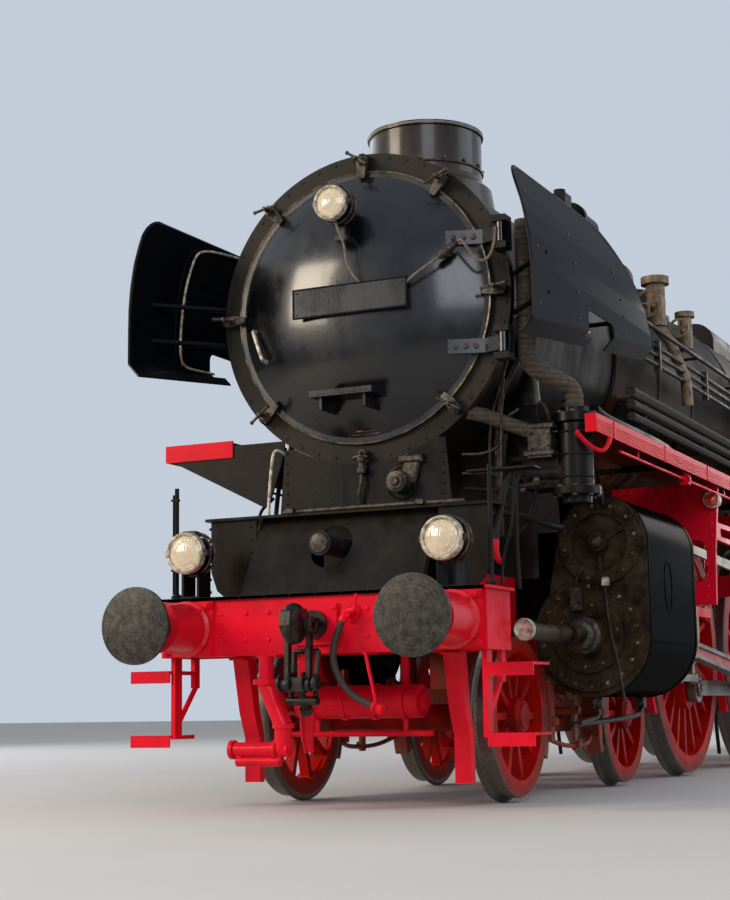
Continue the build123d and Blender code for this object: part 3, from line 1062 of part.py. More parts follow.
def bogie_frame():
    """The leading bogie: side bars with pedestals, cross members and the centre that takes the pin."""
    y0, y1 = BOGIE_AXLE_Y, BOGIE_AXLE_Y + BOGIE_WHEELBASE
    bar_face = outline([(y0 - 260, 430), (y0 + 300, 380), (y1 - 300, 380), (y1 + 260, 430), (y1 + 260, 620),
                        (y1 - 330, 690), (y0 + 330, 690), (y0 - 260, 620)])
    bar_face -= Pos(BOGIE_Y, 540) * RectangleRounded(900, 150, 60)
    side = side_plate(bar_face, (470, 560))
    for y in (y0, y1):
        side -= bar((0, y, BOGIE_RADIUS), (800, y, BOGIE_RADIUS), WHEEL_KINDS["bogie"]["axle"] + FIT)
    pieces = both_sides(side)
    for y, half in ((y0 + 420, 40), (y1 - 420, 40)):
        pieces.append(block((-475, 475), (y - half, y + half), (440, 680)))
    pieces.append(block((-475, 475), (BOGIE_Y - 170, BOGIE_Y + 170), (600, 690)))
    pieces.append(bar((0, BOGIE_Y, 600), (0, BOGIE_Y, 1076 - FIT), 240))
    for x in (-430, 430):
        pieces.append(bar((x, BOGIE_Y, 680), (x, BOGIE_Y, 1076 - FIT), 60))
    solid = fused(pieces)
    return solid - bar((0, BOGIE_Y, 700), (0, BOGIE_Y, 1100), BOGIE_PIN_RADIUS + FIT)


def trailing_truck():
    """The trailing truck: a forked frame that turns on a pin ahead of its axle."""
    y, z = TRAILING_Y, TRAILING_RADIUS
    bar_face = outline([(TRUCK_PIVOT_Y + 500, 560), (y - 330, 480), (y + 330, 480), (y + 420, 600), (y + 330, 790),
                        (y - 330, 790), (TRUCK_PIVOT_Y + 500, 700)])
    side = side_plate(bar_face, (480, 570)) - bar((0, y, z), (800, y, z), WHEEL_KINDS["trailing"]["axle"] + FIT)
    pieces = both_sides(side)
    fork = outline([(-110, TRUCK_PIVOT_Y - 110), (110, TRUCK_PIVOT_Y - 110), (570, TRUCK_PIVOT_Y + 520),
                    (480, TRUCK_PIVOT_Y + 620), (-480, TRUCK_PIVOT_Y + 620), (-570, TRUCK_PIVOT_Y + 520)])
    fork -= outline([(-60, TRUCK_PIVOT_Y + 150), (60, TRUCK_PIVOT_Y + 150), (360, TRUCK_PIVOT_Y + 540),
                     (-360, TRUCK_PIVOT_Y + 540)])
    pieces.append(Pos(0, 0, 590) * extrude(fork, amount=80))
    pieces.append(block((-485, 485), (y + 250, y + 320), (560, 740)))
    pieces.append(block((-485, 485), (y - 320, y - 250), (560, 740)))
    for x in (-525, 525):
        pieces.append(bar((x, y, 780), (x, y, 1330 - FIT), 44))
    solid = fused(pieces)
    return solid - bar((0, TRUCK_PIVOT_Y, 500), (0, TRUCK_PIVOT_Y, 800), TRUCK_PIN_RADIUS + FIT)


# Steps, guards, lamps, pumps and pipes


def front_steps():
    """The steps and rail guards hung below the front beam on both sides."""
    top = BEAM_Z[0] - FIT
    y0 = BEAM_Y + 60
    post = block((1010, 1040), (y0, y0 + 80), (390, top))
    rear = block((1010, 1040), (y0 + 230, y0 + 290), (700, top))
    steps = [block((1040, 1320), (y0 - 20, y0 + 250), (z, z + 14)) for z in (400, 790)]
    fronts = [block((1040, 1320), (y0 - 20, y0 - 8), (z - 60, z + 10)) for z in (400, 790)]
    hangers = [block((1012, 1042), (y0, y0 + 230), (z - 10, z + 14)) for z in (400, 790)]
    brace = side_plate(slab_between((y0 + 40, 470), (y0 + 270, 720), 16, 16), (1012, 1028))
    steps_piece = fused([post, rear, brace] + steps + fronts + hangers)
    guard_line = [(980, 872), (1090, 872), (1130, 560), (1190, 400), (1190, 110), (1130, 110), (1130, 380),
                  (1060, 540)]
    guard = side_plate(outline(guard_line), (655, 760))
    guard -= side_plate(outline([(1000, 860), (1060, 860), (1100, 560), (1160, 410), (1160, 130), (1140, 130),
                                 (1140, 385), (1072, 540)]), (668, 747))
    guard = Pos(0, -30, top - 872) * guard
    guard += block((655, 760), (BEAM_Y + BEAM_DEPTH - 90, 1040), (top - 14, top))
    return fused(both_sides(steps_piece) + both_sides(guard))


LAMP_X = {"left": 820.0, "right": 880.0}
LAMP_Z = 1512.0
TOP_LAMP = (-18.0, 3686.0)


def lamp(x, lens_y, z, radius):
    """One lamp: a drum with a rolled front rim and a conical back."""
    profile = outline([(0, 0), (radius * 0.86, 0), (radius * 0.86, -8), (radius, -8), (radius, 34),
                       (radius * 0.88, 42), (radius * 0.88, 150), (radius * 0.6, 215), (0, 222)])
    return Pos(x, lens_y, z) * turned_y(profile)


def beam_lamps():
    """The two lamps on the front deck with their stands."""
    deck = BEAM_Z[1] + 16 + FIT
    lamps = []
    for side, x in LAMP_X.items():
        body = lamp(x, 580, LAMP_Z, 125)
        stand = fused([block((x - 62, x - 46), (640, 780), (deck, LAMP_Z - 60)),
                       block((x + 46, x + 62), (640, 780), (deck, LAMP_Z - 60)),
                       block((x - 70, x + 70), (630, 790), (deck, deck + 14)),
                       block((x - 62, x + 62), (640, 780), (LAMP_Z - 125, LAMP_Z - 90))])
        lamps.append(on_side(fused([body, stand]), side))
    return fused(lamps)


def top_lamp():
    """The lamp on the smokebox door; it turns with the door."""
    x, z = TOP_LAMP
    body = lamp(x, 890, z, 108)
    foot = block((x - 30, x + 30), (1000, 1060), (3560 + FIT, z - 60))
    return fused([body, foot])


PUMP = (1250.0, 1740.0)
PUMP_TOP = 2400.0


def feed_pump():
    """The feed pump on the left: a tall cylinder between two flanged ends on a carrier from the smokebox."""
    x, y = PUMP
    profile = turned_z([(0, 1800), (92, 1800), (92, 1850), (150, 1850), (150, 1895), (108, 1910), (108, 2295),
                        (138, 2305), (138, 2360), (90, 2370), (90, PUMP_TOP), (0, PUMP_TOP)])
    pieces = [Pos(x, y, 0) * profile]
    chest = bar((x - 300, y, 1990), (x, y, 1990), 82)
    lower = block((x - 330, x - 90), (y - 70, y + 180), (1900, 2090))
    carrier = block((780, x - 60), (y + 60, y + 100), (2120, 2270))
    rack = block((620, x - 60), (y - 40, y + 160), (BOARD_Z[1] + FIT, 2440))
    solid = fused(pieces + [chest, lower, carrier, rack])
    return solid - boiler_envelope()


def left_pipes():
    """The lagged steam pipe to the pump and the pipes along the left of the boiler."""
    x, y = PUMP
    route = [(1060, 1432, 3560), (1060, 1432, 2640), (x, y, 2525), (x, y, PUMP_TOP + FIT)]
    lagged = pipe(route, 58, [120, 90])
    pieces = [lagged]
    for z, radius in ((2780, 38), (2690, 34), (2600, 30)):
        reach = BARREL_RADIUS[1] + 60
        pieces.append(bar((reach, 3350, z), (reach, CAB_Y[0] - FIT, z), radius))
    clips = [block((BARREL_RADIUS[1] - 300, BARREL_RADIUS[1] + 60), (y0, y0 + 30), (2580, 2800))
             for y0 in (3700, 5400, 7100, 8800, 10500, 12200)]
    solid = fused(pieces + clips)
    return solid - boiler_envelope()


def boiler_envelope():
    """The smokebox, barrel and firebox as solids with a hair's clearance, for cutting what sits against them."""
    y0, y1 = SMOKEBOX_Y
    low = outline([(-BARREL_RADIUS[1] - FIT, BOILER_Z), (-FIREBOX_HALF_BASE - FIT, MUD_RING_Z),
                   (FIREBOX_HALF_BASE + FIT, MUD_RING_Z), (BARREL_RADIUS[1] + FIT, BOILER_Z)])
    return [
        bar((0, y0, BOILER_Z), (0, y1 + 1, BOILER_Z), SMOKEBOX_RADIUS + FIT),
        bar((0, y0, BOILER_Z), (0, y0 + 60 + FIT, BOILER_Z), RING_RADIUS + FIT),
        barrel_shape(FIT),
        bar((0, FIREBOX_Y[0] - 1, BOILER_Z), (0, FIREBOX_Y[1], BOILER_Z), BARREL_RADIUS[1] + FIT),
        cross_plate(low, (FIREBOX_Y[0] - 1, FIREBOX_Y[1])),
    ]


def check_valves():
    """The two feed valves with hand wheels on the upper left of the barrel, and their pipes down."""
    pieces = []
    for y, x, z, size in ((4750, 960, 3640, 1.0), (5750, 930, 3640, 0.75)):
        pieces.append(bar((x - 120, y, z), (x, y, z), 70 * size))
        pieces.append(bar((x, y, z - 90), (x, y, z + 260 * size), 78 * size))
        pieces.append(bar((x, y, z + 250 * size), (x, y, z + 310 * size), 112 * size))
        pieces.append(bar((x, y - 210, z + 60), (x, y, z + 60), 22))
        rim = bar((x, y - 214, z + 60), (x, y - 190, z + 60), 112 * size) - bar(
            (x, y - 215, z + 60), (x, y - 189, z + 60), 90 * size)
        spokes = [block((x - 100 * size, x + 100 * size), (y - 210, y - 194), (z + 53, z + 67)),
                  block((x - 7, x + 7), (y - 210, y - 194), (z + 60 - 100 * size, z + 60 + 100 * size))]
        pieces += [rim] + spokes
    pieces.append(pipe([(960, 4750, 3560), (1060, 4760, 3420), (1165, 4800, 3100), (1165, 4830, 2900)], 44, [150, 200]))
    return fused(pieces) - boiler_envelope()


def generator():
    """The steam turbine generator on the smokebox's upper left flank."""
    drum = fused([bar((890, 2900, 3960), (890, 3230, 3960), 96), bar((890, 2850, 3960), (890, 2905, 3960), 118),
                  bar((890, 3225, 3960), (890, 3270, 3960), 80)])
    foot = block((640, 900), (2920, 3180), (3720, 3900))
    valve = [block((830, 960), (2560, 2700), (3900, 4070)), bar((895, 2640, 4060), (895, 2640, 4110), 42)]
    valve_foot = block((660, 880), (2580, 2680), (3740, 3920))
    return fused([drum, foot, valve_foot] + valve) - boiler_envelope()


def air_pump():
    """The air pump on the right: two stacked cylinders hung from the barrel beside the running board."""
    x, y = -1225.0, 4060.0
    profile = turned_z([(0, 1900), (120, 1900), (150, 1930), (170, 1940), (170, 2270), (120, 2300), (120, 2360),
                        (170, 2390), (170, 2800), (140, 2830), (60, 2850), (0, 2850)])
    fins = [turned_z([(0, z), (182, z), (182, z + 14), (0, z + 14)]) for z in range(1970, 2260, 48)]
    carrier = block((-x - 60 - 560, -x - 60), (y - 110, y + 110), (2360, 2420))
    solid = fused([Pos(x, y, 0) * fused([profile] + fins), mirror(carrier, about=Plane.YZ)])
    return solid - boiler_envelope()


TANK = (1200.0, 600.0)
TANK_RADIUS = 100.0


def reservoirs():
    """The air tank across the frame behind the rail guards, on two straps, with the step bar below it."""
    y, z = TANK
    top = FRAME_FOOT_Z - FIT
    pieces = [bar((-410, y, z), (410, y, z), TANK_RADIUS), bar((-440, y, z), (440, y, z), 60)]
    pieces += [bar((x - 20, y, z), (x + 20, y, z), TANK_RADIUS + 9) for x in (-300, -100, 100, 300)]
    for x in (-300, 300):
        pieces.append(block((x - 20, x + 20), (y - 12, y + 12), (z, top)))
        pieces.append(block((x - 14, x + 14), (y - 8, y + 8), (408, z)))
    pieces.append(block((-590, 590), (y - 30, y + 30), (top - 30, top)))
    pieces.append(bar((-480, y, 408), (480, y, 408), 18))
    return fused(pieces)


def brake_gear():
    """Brake shoes ahead of each driver on hangers from the frame, joined by cross beams."""
    pieces = []
    for y in DRIVER_Y:
        shoe_r = DRIVER_RADIUS + BRAKE_GAP
        ring = Pos(y, DRIVER_RADIUS) * (Circle(shoe_r + 62) - Circle(shoe_r))
        window = Pos(y - 1030, 700) * Rectangle(460, 420)
        shoe = side_plate(ring & window, (730, 800))
        hang_y = y - 1075
        hanger = side_plate(slab_between((hang_y, 1180), (hang_y + 25, 620), 28, 34), (640, 672))
        lug = bar((FRAME_X[1] + FIT, hang_y, 1190), (676, hang_y, 1190), 34)
        tie = bar((650, hang_y + 40, 720), (780, hang_y + 40, 720), 26)
        pieces.append(fused([shoe, hanger, lug, tie]))
    return fused([side for piece in pieces for side in both_sides(piece)])


BRAKE_GAP = 6.0


def cab_steps():
    """Ladders under the cab doors."""
    y0, y1 = 15050.0, 15500.0
    x = (1180.0, 1200.0)
    stringers = [block(x, (y, y + 60), (420, CAB_FLOOR_Z[0] - FIT)) for y in (y0, y1 - 60)]
    treads = [block((1200, 1470), (y0, y1), (z, z + 16)) for z in (430, 820, 1210)]
    ties = [block(x, (y0, y1), (z - 10, z + 16)) for z in (430, 820, 1210)]
    piece = fused(stringers + treads + ties)
    return fused(both_sides(piece))


NODES = {
    "main_frame": main_frame,
    "axleboxes": axleboxes,
    "buffer_beam": buffer_beam,
    "buffers": buffers,
    "draw_gear": draw_gear,
    "brake_hose": brake_hose,
    "front_pipes": front_pipes,
    "front_apron": front_apron,
    "smokebox": smokebox,
    "smokebox_door": smokebox_door,
    "door_hinges": door_hinges,
    "chimney": chimney,
    "boiler_barrel": barrel_shape,
    "firebox": firebox,
    "ashpan": ashpan,
    "boiler_mounts": boiler_mounts,
    "smoke_deflectors": smoke_deflectors,
    "handrails": handrails,
    "inside_cylinder": inside_cylinder,
    "cab_roof": cab_roof,
    "cab_front": cab_front,
    "cab_back": cab_back,
    "cab_floor": cab_floor,
    "cab_fittings": cab_fittings,
    "cab_glass": cab_glass,
    "cab_door_pins": cab_door_pins,
    "bogie_frame": bogie_frame,
    "trailing_truck": trailing_truck,
    "front_steps": front_steps,
    "beam_lamps": beam_lamps,
    "top_lamp": top_lamp,
    "feed_pump": feed_pump,
    "left_pipes": left_pipes,
    "check_valves": check_valves,
    "generator": generator,
    "air_pump": air_pump,
    "air_tank": reservoirs,
    "brake_gear": brake_gear,
    "cab_steps": cab_steps,
    "bogie_wheelset_front": lambda: wheelset(WHEEL_KINDS["bogie"], BOGIE_AXLE_Y),
    "bogie_wheelset_rear": lambda: wheelset(WHEEL_KINDS["bogie"], BOGIE_AXLE_Y + BOGIE_WHEELBASE),
    "trailing_wheelset": lambda: wheelset(WHEEL_KINDS["trailing"], TRAILING_Y),
}
END_PIN = [(COUPLING_PIN_RADIUS, COUPLING_PLANE_X[1] + 14)]
DRIVE_PIN = [(CRANK_PIN_RADIUS, ROD_PLANE_X[0] - OPEN_PIVOT_GAP)]
for number, (axle_y, pin) in enumerate(zip(DRIVER_Y, (END_PIN, DRIVE_PIN, END_PIN)), 1):
    NODES[f"driving_wheelset_{number}"] = lambda y=axle_y, p=pin: wheelset(WHEEL_KINDS["driver"], y, True, p)
for side in SIDES:
    NODES[f"coupling_rod_{side}"] = lambda s=side: on_side(coupling_rod(s), s)
    NODES[f"cab_door_{side}"] = lambda s=side: cab_door(s)
PAIRS = {
    "main_rods": main_rod,
    "crossheads": crosshead,
    "valve_gear": valve_gear,
    "motion_brackets": motion_bracket,
    "cylinders": cylinder,
    "running_boards": running_board,
    "cab_sides": cab_side,
}
for node, maker in PAIRS.items():
    NODES[node] = lambda m=maker: fused([m(side) for side in SIDES])


def place(shape):
    """From buffer-face and rail-top measures to the row frame: centred, with the flange tips at zero."""
    return Pos(0, -LENGTH / 2, FLANGE_DEPTH) * shape


os.makedirs("parts", exist_ok=True)
for node, make in NODES.items():
    export_step(place(make()), f"parts/{node}.step")
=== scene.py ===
import math
import bpy
import numpy as np
from mathutils import Matrix, Vector


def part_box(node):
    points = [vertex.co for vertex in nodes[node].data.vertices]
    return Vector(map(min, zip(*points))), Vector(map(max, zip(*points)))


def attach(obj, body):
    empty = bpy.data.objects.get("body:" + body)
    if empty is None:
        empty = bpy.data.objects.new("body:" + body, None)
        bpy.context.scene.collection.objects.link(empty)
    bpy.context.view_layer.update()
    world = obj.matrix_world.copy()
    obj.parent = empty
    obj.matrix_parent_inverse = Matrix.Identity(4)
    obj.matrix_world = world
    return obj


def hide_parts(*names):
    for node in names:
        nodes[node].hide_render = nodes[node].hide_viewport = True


# Steam locomotive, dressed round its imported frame.
# Metres throughout: -Y is the front, +X the engine's left side, and z = 0 lies at the flange tips.
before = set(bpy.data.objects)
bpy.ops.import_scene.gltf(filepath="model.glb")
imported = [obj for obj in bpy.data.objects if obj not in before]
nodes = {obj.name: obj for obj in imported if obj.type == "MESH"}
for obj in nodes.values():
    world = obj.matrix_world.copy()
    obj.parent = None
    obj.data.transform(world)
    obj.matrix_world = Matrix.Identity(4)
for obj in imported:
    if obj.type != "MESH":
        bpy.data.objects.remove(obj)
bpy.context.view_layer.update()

# Camera: low in front of the engine's left side, looking up at the smokebox through a long lens.
# Found from the spacing of the buffers, wheels, lamps and smokebox ring in the photograph.
camera = bpy.data.objects.new("camera", bpy.data.cameras.new("camera"))
bpy.context.scene.collection.objects.link(camera)
camera.data.sensor_width = 36.0
camera.data.lens = 68.26
camera.data.clip_start = 0.1
camera.data.clip_end = 500.0
heading, tilt, roll = 0.4452, 0.1508, -0.0147
camera.matrix_world = (
    Matrix.Translation((4.5949, -16.2718, 0.5825))
    @ Matrix.Rotation(heading, 4, "Z")
    @ Matrix.Rotation(math.pi / 2 + tilt, 4, "X")
    @ Matrix.Rotation(roll, 4, "Z")
)
bpy.context.scene.camera = camera

# Brake hose: a fabric-reinforced rubber hose, about 0.6 m long, clamped on the cock and on the dummy head.
# Places are measured as on the real engine: metres behind the buffer faces and above the foot of the treads.
DATUM = np.array((0.0, -7.95, 0.028))


def at(places):
    """Places behind the buffer faces and above the foot of the treads, moved to the frame's own origin."""
    return np.asarray(places, float) + DATUM


hose_route = at([(0.200, 0.545, 1.058), (0.160, 0.528, 0.960), (0.150, 0.515, 0.830), (0.215, 0.503, 0.700),
                 (0.300, 0.500, 0.618), (0.410, 0.500, 0.575)])
hose_line = bpy.data.curves.new("brake_hose_line", "CURVE")
hose_line.dimensions = "3D"
hose_line.bevel_depth = 1.0
hose_line.bevel_resolution = 8
hose_line.use_fill_caps = True
run = hose_line.splines.new("NURBS")
run.points.add(len(hose_route) - 1)
run.points.foreach_set("co", np.column_stack([hose_route, np.ones(len(hose_route))]).ravel())
run.points.foreach_set("radius", np.full(len(hose_route), 0.020))
run.order_u = 3
run.use_endpoint_u = True
run.resolution_u = 24
hose = bpy.data.objects.new("brake_hose_rubber", hose_line)
bpy.context.scene.collection.objects.link(hose)
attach(hose, "engine")
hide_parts("brake_hose")


def linear(code):
    """An sRGB hex colour as linear light: each channel runs back through the sRGB curve."""
    part = np.array([int(code[i:i + 2], 16) for i in (0, 2, 4)]) / 255
    return (*np.where(part <= 0.04045, part / 12.92, ((part + 0.055) / 1.055) ** 2.4), 1.0)


def add(tree, kind, inputs=None, **settings):
    """Adds a shader node: settings are its own properties, inputs are values or other nodes' outputs.
    A Mix node takes its share as input 0 and its two colours as 6 and 7, and gives its colour as output 2."""
    made = tree.nodes.new(kind)
    for name, value in settings.items():
        setattr(made, name, value)
    for name, value in (inputs or {}).items():
        if isinstance(value, bpy.types.NodeSocket):
            tree.links.new(value, made.inputs[name])
        else:
            made.inputs[name].default_value = value
    return made


def finish_of(name):
    """A new empty material with its tree, and the Object coordinates that its patterns read.
    A noise's scale is one over the size of its features in metres: 40 is smears of 25 mm."""
    material = bpy.data.materials.new(name)
    material.use_nodes = True
    tree = material.node_tree
    tree.nodes.clear()
    return material, tree, add(tree, "ShaderNodeTexCoord").outputs["Object"]


# Hose rubber is moulded and weathered: dark grey-brown, dull, with faint rings from the cloth in it.
hose_rubber, tree, place = finish_of("weathered brake hose rubber")
grime = add(tree, "ShaderNodeTexNoise", {"Vector": place, "Scale": 38.0, "Detail": 5.0})
tone = add(tree, "ShaderNodeMix", {0: grime.outputs["Fac"], 6: linear("15130F"), 7: linear("3D352C")},
           data_type="RGBA").outputs[2]
rings = add(tree, "ShaderNodeTexWave", {"Vector": place, "Scale": 60.0, "Distortion": 2.0},
            bands_direction="Z")
ribs = add(tree, "ShaderNodeBump", {"Height": rings.outputs["Fac"], "Strength": 0.25, "Distance": 0.002})
skin = add(tree, "ShaderNodeBsdfPrincipled", {"Base Color": tone, "Roughness": 0.62,
                                              "Normal": ribs.outputs[0]})
add(tree, "ShaderNodeOutputMaterial", {"Surface": skin.outputs[0]})
hose_line.materials.append(hose_rubber)

# Floor, backdrop and lamps: a pale studio, its broad key light at the front left, low and warm.
# The backdrop shows pale to the camera and in reflections, and lights the engine more softly.
world = bpy.data.worlds.new("pale studio")
bpy.context.scene.world = world
world.use_nodes = True
studio = world.node_tree
studio.nodes.clear()
rays = add(studio, "ShaderNodeLightPath")
clear = add(studio, "ShaderNodeMath", {0: rays.outputs["Is Glossy Ray"],
                                       1: rays.outputs["Is Transmission Ray"]},
            operation="MAXIMUM")
seen = add(studio, "ShaderNodeMath", {0: rays.outputs["Is Camera Ray"], 1: clear.outputs[0]},
           operation="MAXIMUM")
soft = add(studio, "ShaderNodeBackground", {"Color": linear("DDE3EA"), "Strength": 0.55})
pale = add(studio, "ShaderNodeBackground", {"Color": linear("C3CDDA"), "Strength": 1.0})
both = add(studio, "ShaderNodeMixShader", {0: seen.outputs[0], 1: soft.outputs[0], 2: pale.outputs[0]})
add(studio, "ShaderNodeOutputWorld", {"Surface": both.outputs[0]})

floor_mesh = bpy.data.meshes.new("floor")
floor_mesh.from_pydata([(-80, -80, 0), (80, -80, 0), (80, 80, 0), (-80, 80, 0)], [], [(0, 1, 2, 3)])
floor = bpy.data.objects.new("floor", floor_mesh)
bpy.context.scene.collection.objects.link(floor)
floor_paint, tree, place = finish_of("pale sealed floor")
clouds = add(tree, "ShaderNodeTexNoise", {"Vector": place, "Scale": 0.6, "Detail": 4.0})
tone = add(tree, "ShaderNodeMix", {0: clouds.outputs["Fac"], 6: linear("C2C1BC"), 7: linear("CDCCC8")},
           data_type="RGBA").outputs[2]
matt = add(tree, "ShaderNodeBsdfPrincipled", {"Base Color": tone, "Roughness": 0.8})
add(tree, "ShaderNodeOutputMaterial", {"Surface": matt.outputs[0]})
floor_mesh.materials.append(floor_paint)

# name, size, energy, colour, place, target
lamps = [
    ("key", 7.0, 2300.0, "FFEED6", (-12.0, -19.0, 8.5), (0.0, -6.5, 2.0)),
    ("front soft", 8.0, 900.0, "F4F4FF", (9.0, -22.0, 9.0), (0.0, -6.5, 2.0)),
    ("side soft", 12.0, 900.0, "EAF0FF", (16.0, 2.0, 8.0), (0.0, 0.0, 2.0)),
    ("far soft", 12.0, 1100.0, "F4F4FF", (-16.0, 2.0, 8.0), (0.0, 0.0, 2.0)),
    ("rear soft", 8.0, 800.0, "FFF8EE", (3.0, 20.0, 7.0), (0.0, 7.0, 2.5)),
]
for name, size, energy, colour, spot, target in lamps:
    light = bpy.data.lights.new(name, "AREA")
    light.size = size
    light.energy = energy
    light.color = linear(colour)[:3]
    lamp = bpy.data.objects.new(name, light)
    bpy.context.scene.collection.objects.link(lamp)
    lamp.location = spot
    lamp.rotation_euler = (Vector(target) - Vector(spot)).to_track_quat("-Z", "Y").to_euler()
bpy.context.scene.view_settings.view_transform = "Standard"


# Painted steelwork: brushed and sprayed enamel over steel plate, years old, dusted on top, oily below.
# The eye gets cloudy patches 0.4 m wide, fine runs down the sides, pale dry specks and orange peel.
# Real peel is 3 mm and real specks are 2 mm: they are drawn at 18 and 16 mm, so that they show.
def enamel(name, deep, worn, dust, gloss=0.3, runs=0.35, specks=0.35, coat=0.25, dusting=0.5, level=0.35):
    """Colour = deep paint, turned to worn by patches and
    vertical runs, to dust on upward faces and in specks."""
    material, tree, place = finish_of(name)
    patches = add(tree, "ShaderNodeTexNoise", {"Vector": place, "Scale": 2.6, "Detail": 8.0,
                                               "Roughness": 0.62})
    stretched = add(tree, "ShaderNodeMapping", {"Vector": place, "Scale": (16.0, 16.0, 1.1)})
    streaks = add(tree, "ShaderNodeTexNoise", {"Vector": stretched.outputs[0], "Scale": 1.0, "Detail": 6.0})
    sum_of = add(tree, "ShaderNodeMath", {0: streaks.outputs["Fac"], 1: runs, 2: patches.outputs["Fac"]},
                 operation="MULTIPLY_ADD")
    share = add(tree, "ShaderNodeMapRange", {"Value": sum_of.outputs[0], "From Min": 0.42 + runs * 0.4,
                                             "From Max": 0.72 + runs * 0.6})
    tone = add(tree, "ShaderNodeMix", {0: share.outputs[0], 6: linear(deep), 7: linear(worn)},
               data_type="RGBA").outputs[2]
    facing = add(tree, "ShaderNodeNewGeometry")
    split = add(tree, "ShaderNodeSeparateXYZ", {0: facing.outputs["Normal"]})
    upward = add(tree, "ShaderNodeMapRange", {"Value": split.outputs["Z"], "From Min": 0.25, "From Max": 1.0,
                                              "To Max": dusting})
    settled = add(tree, "ShaderNodeMath", {0: upward.outputs[0], 1: patches.outputs["Fac"]},
                  operation="MULTIPLY")
    tone = add(tree, "ShaderNodeMix", {0: settled.outputs[0], 6: tone, 7: linear(dust)},
               data_type="RGBA").outputs[2]
    cells = add(tree, "ShaderNodeTexVoronoi", {"Vector": place, "Scale": 62.0, "Randomness": 1.0})
    dots = add(tree, "ShaderNodeMapRange", {"Value": cells.outputs["Distance"], "From Min": 0.16,
                                            "From Max": 0.07, "To Max": specks})
    rare = add(tree, "ShaderNodeTexNoise", {"Vector": place, "Scale": 7.0, "Detail": 2.0})
    some = add(tree, "ShaderNodeMapRange", {"Value": rare.outputs["Fac"], "From Min": 0.5, "From Max": 0.7})
    flecks = add(tree, "ShaderNodeMath", {0: dots.outputs[0], 1: some.outputs[0]}, operation="MULTIPLY")
    tone = add(tree, "ShaderNodeMix", {0: flecks.outputs[0], 6: tone, 7: linear(dust)},
               data_type="RGBA").outputs[2]
    rough = add(tree, "ShaderNodeMapRange", {"Value": share.outputs[0], "To Min": gloss,
                                             "To Max": gloss + 0.28})
    peel = add(tree, "ShaderNodeTexNoise", {"Vector": place, "Scale": 55.0, "Detail": 3.0})
    ripple = add(tree, "ShaderNodeBump", {"Height": peel.outputs["Fac"], "Strength": 0.12, "Distance": 0.004})
    paint = add(tree, "ShaderNodeBsdfPrincipled", {"Base Color": tone, "Roughness": rough.outputs[0],
                                                   "Normal": ripple.outputs[0], "Specular IOR Level": level,
                                                   "Coat Weight": coat, "Coat Roughness": 0.12})
    add(tree, "ShaderNodeOutputMaterial", {"Surface": paint.outputs[0]})
    return material


def dress(material, *names):
    """Gives CAD nodes this finish in every slot."""
    for name in names:
        piece = nodes[name]
        piece.data.materials.clear()
        piece.data.materials.append(material)


# The smokebox door is black enamel; its deep and worn colours are tinted blue as a painted sky reflection.
door_enamel = enamel("gloss black smokebox enamel", "040508", "0B0D14", "6B6A66", gloss=0.2, runs=0.2,
                     specks=0.3, coat=0.4, dusting=0.15, level=0.35)
# The wing plates are black enamel with their specular level off; their colours, dust included, are tinted
# blue as a painted sky reflection.
wing_enamel_painted_sky_blue = enamel("gloss blue-black wing plate enamel", "08090C", "0F131B", "4C5464", gloss=0.3, runs=0.2,
                     specks=0.15, coat=0.22, dusting=0.05, level=0.0)
# The chimney is dark enamel in brown patches, their brown lighter than the paint's own as a painted warm
# highlight.
chimney_enamel_painted_highlight = enamel("chimney enamel, brown lightened as painted highlight", "211A14", "46382B", "7A6A58", gloss=0.25, runs=0.3,
                        specks=0.1, coat=0.25, dusting=0.25, level=0.25)
soot_enamel = enamel("soot-dulled black enamel", "0C0B0A", "2A2520", "5A5148", gloss=0.36, runs=0.5,
                     specks=0.3, coat=0.0, dusting=0.4, level=0.12)
ring_enamel = enamel("heat-dulled ring enamel", "12100D", "352E26", "77716A", gloss=0.42, runs=0.4,
                     specks=0.7, coat=0.0, dusting=0.3, level=0.15)
apron_enamel = enamel("satin black apron enamel", "0A0806", "201A14", "6A665F", gloss=0.3, runs=0.5,
                      specks=0.6, coat=0.05, dusting=0.25, level=0.12)
cab_enamel = enamel("satin black cab enamel", "070708", "141416", "55524D", gloss=0.22, runs=0.3, specks=0.15,
                    coat=0.1, dusting=0.35, level=0.15)
signal_enamel = enamel("signal red enamel", "E8122C", "BE0E20", "7A2C24", gloss=0.3, runs=0.25, specks=0.25,
                       coat=0.12, dusting=0.15, level=0.08)
dress(door_enamel, "smokebox_door")
dress(wing_enamel_painted_sky_blue, "smoke_deflectors")
dress(soot_enamel, "generator", "air_pump", "handrails", "boiler_mounts", "inside_cylinder", "ashpan")
dress(chimney_enamel_painted_highlight, "chimney")
dress(ring_enamel, "smokebox", "door_hinges")
dress(apron_enamel, "front_apron", "beam_lamps", "top_lamp", "feed_pump")
dress(cab_enamel, "cab_front", "cab_back", "cab_sides", "cab_door_left", "cab_door_right", "cab_door_pins",
      "cab_roof")
dress(signal_enamel, "buffer_beam", "front_steps", "front_pipes", "motion_brackets", "cab_steps",
      "main_frame", "axleboxes", "brake_gear", "air_tank")

# Smokebox front: countersunk rivets hold the ring, and seven dogs on screws pull the door on to its seat.
# Forged steel, brown from heat, each screw with its washer, nut and a cross handle left at its own angle.
boiler_axis = 3.1


def lofted(loops):
    """A skin over closed loops of points, taken in order, its first and last loops filled."""
    rows, count = loops.shape[:2]
    turns = np.arange(count)
    onward = (turns + 1) % count
    base = np.arange(rows - 1)[:, None] * count
    quads = np.stack([base + turns, base + onward, base + count + onward, base + count + turns], axis=2)
    return loops.reshape(-1, 3), [quads.reshape(-1, 4), turns[None, ::-1], turns[None] + (rows - 1) * count]


